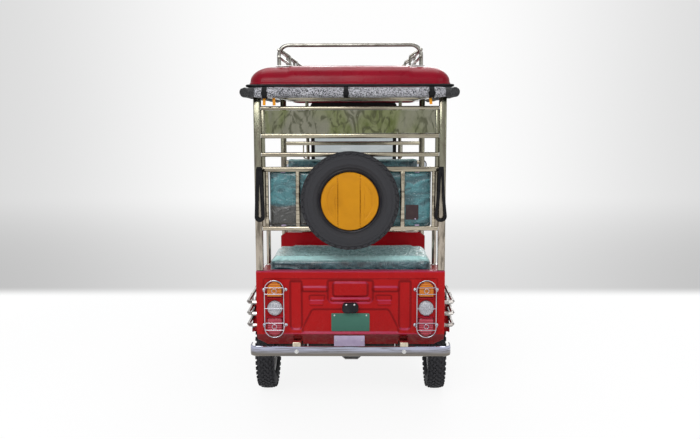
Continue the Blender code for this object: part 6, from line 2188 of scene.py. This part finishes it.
@dataclass
class Steering:
    """Grips, levers, clamps, fork gaiters and mudguard trim, which turn with the handlebar."""

    lean: float = 20.0

    def build(self) -> None:
        """Make the pieces on the handlebar and the fork."""
        axis = Matrix.Translation((0, FRONT_Y, HUB_Z)) @ Matrix.Rotation(math.radians(self.lean), 4, "X")
        grips, levers, boots = Shape(), Shape(), Shape()
        for sign in SIGNS:
            start, end = Vector((sign * 0.180, -0.0925, 0.835)), Vector((sign * 0.278, -0.166, 0.835))
            along = (end - start).normalized()
            grips.join(Shape.rod(start, end, 0.0166, sides=28, bevel=0.002))
            for step in range(11):
                spot = start + (end - start) * (0.08 + 0.084 * step)
                grips.join(Shape.rod(spot, spot + along * 0.005, 0.0182, sides=24, bevel=0.0015))
            box = start - along * 0.026
            levers.join(Shape.rod(box - along * 0.016, box + along * 0.016, 0.0190, sides=24, bevel=0.003))
            path = rounded_path([tuple(box + Vector((0, 0.014, 0))),
                                 tuple(box + Vector((sign * 0.030, 0.034, 0.002))),
                                 tuple(end + Vector((sign * -0.006, 0.048, 0.001)))], 0.02, 6)
            levers.join(Shape.tube(path, 0.0045, 10))
            for step in range(5):
                boots.join(Shape.rod((sign * 0.085, 0, 0.202 + 0.010 * step),
                                     (sign * 0.085, 0, 0.208 + 0.010 * step), 0.0196 - 0.0006 * step,
                                     sides=28, bevel=0.002))
        grips.move(axis).piece("hand_grips", BLACK_RUBBER, Body.STEERING, sharp=50)
        boots.move(axis).piece("fork_boots", BLACK_RUBBER, Body.STEERING, sharp=50)
        levers.move(axis).piece("brake_levers", CHROME, Body.STEERING)
        nuts = Shape()
        for sign in SIGNS:
            for x in (-0.030, 0.030):
                nuts.join(hexagon_bolt((sign * 0.085 + x * 0.2, 0.0, 0.3832), Axis.Z, 1, 0.007, 0.005))
            nuts.join(Shape.rod((sign * 0.1065, 0, 0), (sign * 0.1140, 0, 0), 0.011, sides=6, bevel=0.001))
            nuts.join(round_screw((sign * 0.028, 0.000, 0.822), Axis.Z, 0.0048))
        nuts.move(axis).piece("fork_nuts", ZINC, Body.STEERING)
        beads = Shape()
        for sign in SIGNS:
            beads.join(Shape.tube(wheel_arc((sign * 0.0600, 0, 0), 0.2815, -8, 152), 0.0030, 8))
        beads.move(axis).piece("mudguard_beads", BODY_PAINT, Body.STEERING)


@dataclass
class Mirrors:
    """Glass and clamps of both outside mirrors."""

    def build(self) -> None:
        """Make the mirror glasses and the clamps of their arms."""
        glasses, clamps = Shape(), Shape()
        for sign in SIGNS:
            glasses.join(Shape.slab(rounded_box(0.045, 1.112, 1.188, 0.026, sign * 0.52), Axis.Y, 0.9438,
                                    0.9446, 0.0003, 1))
            clamps.join(Shape.rod((sign * 0.3680, 0.9344, 1.100), (sign * 0.3900, 0.9344, 1.1073), 0.0095,
                                  sides=20, bevel=0.001))
        glasses.piece("mirror_glasses", CHROME)
        clamps.piece("mirror_clamps", BLACK_RUBBER)


@dataclass
class Underside:
    """Spring leaves, clamps, motor ribs and brake hoses under the floor."""

    def build(self) -> None:
        """Make the details of the axle, the motor and the frame."""
        leaves, clamps, ribs, cables = Shape(), Shape(), Shape(), Shape()
        for sign in SIGNS:
            x = sign * RAIL_X
            for row, reach in enumerate((0.27, 0.21, 0.15)):
                path = []
                for step in range(17):
                    along = reach * (2 * step / 16 - 1)
                    rise = 0.030 * (along / 0.31) ** 2 - 0.0055 * row
                    path.append(Vector((x, AXLE_Y + along, 0.2655 + rise)))
                leaves.join(Shape.tube(path, 0.0025, 4))
            for y in (-0.975, -0.885):
                loop = rounded_path([(x - 0.030, y, 0.222), (x - 0.030, y, 0.312), (x + 0.030, y, 0.312),
                                     (x + 0.030, y, 0.222)], 0.012, 5)
                clamps.join(Shape.tube(loop, 0.0045, 10))
                for side in SIGNS:
                    clamps.join(hexagon_bolt((x + side * 0.030, y, 0.2300), Axis.Z, -1, 0.0075, 0.006))
            for y in (-1.155, -0.50, 0.0, 0.45):
                clamps.join(hexagon_bolt((x, y, 0.335), Axis.Z, -1, 0.0075, 0.005))
            hose = rounded_path([(sign * 0.405, -0.90, 0.300), (sign * 0.33, -0.84, 0.325),
                                 (sign * 0.245, -0.60, 0.330), (sign * 0.245, 0.10, 0.330),
                                 (sign * 0.245, 0.40, 0.331)], 0.06, 8)
            cables.join(Shape.tube(hose, 0.0045, 10))
        for step in range(9):
            x = 0.035 + 0.021 * step
            ribs.join(Shape.rod((x, -0.7597, 0.25), (x + 0.006, -0.7597, 0.25), 0.0828, sides=56,
                                bevel=0.0012))
        for y, z in circle(0.070, 8, AXLE_Y, HUB_Z):
            clamps.join(hexagon_bolt((-0.033, y, z), Axis.X, -1, 0.006, 0.004))
        leaves.join(ribs).piece("springs_and_ribs", FRAME_BLACK)
        clamps.piece("axle_clamps", ZINC)
        cables.piece("brake_hoses", BLACK_RUBBER)


# Solids that stay in view, with the finish that each one gets
KEPT: dict[str, Finish] = {
    "battery_block": BLACK_PLASTIC, "chassis_frame": FRAME_BLACK, "floor_pan": FRAME_BLACK,
    "motor": FRAME_BLACK, "rear_axle": FRAME_BLACK, "front_fork": FRAME_BLACK,
    "handlebar": BLACK_PLASTIC, "scuttle": BLACK_PLASTIC, "mirror_left": BLACK_PLASTIC,
    "mirror_right": BLACK_PLASTIC, "windscreen_frame": BLACK_RUBBER, "windscreen_glass": GLASS,
    "front_box": BODY_PAINT, "rear_body": BODY_PAINT, "leg_shield": BODY_PAINT,
    "front_cowl": BODY_PAINT, "front_mudguard": BODY_PAINT, "front_guard": GUARD_STEEL,
    "side_guard_left": GUARD_STEEL, "side_guard_right": GUARD_STEEL}


def dress_solids() -> None:
    """Give every solid that stays in view its finish, through its own material slots."""
    for name, finish in KEPT.items():
        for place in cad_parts[name].material_slots:
            place.link = "OBJECT"
            place.material = finish.material()
        log.info("%s: dressed with %s", name, finish.name)


def main() -> None:
    """Build the sub-assemblies in order."""
    logging.basicConfig(level=logging.INFO, format="%(name)s: %(message)s")
    dress_solids()
    parts = (Wheels(), TailPanel(), TailFittings(), CabFrame(), Roof(), Coachwork(), GuardFixings(),
             Nose(), Steering(), Mirrors(), Underside(), Cushions(), Studio())
    for part in parts:
        log.info("building %s", type(part).__name__)
        part.build()
    bpy.context.scene.view_settings.view_transform = "Standard"


if __name__ == "__main__":
    main()
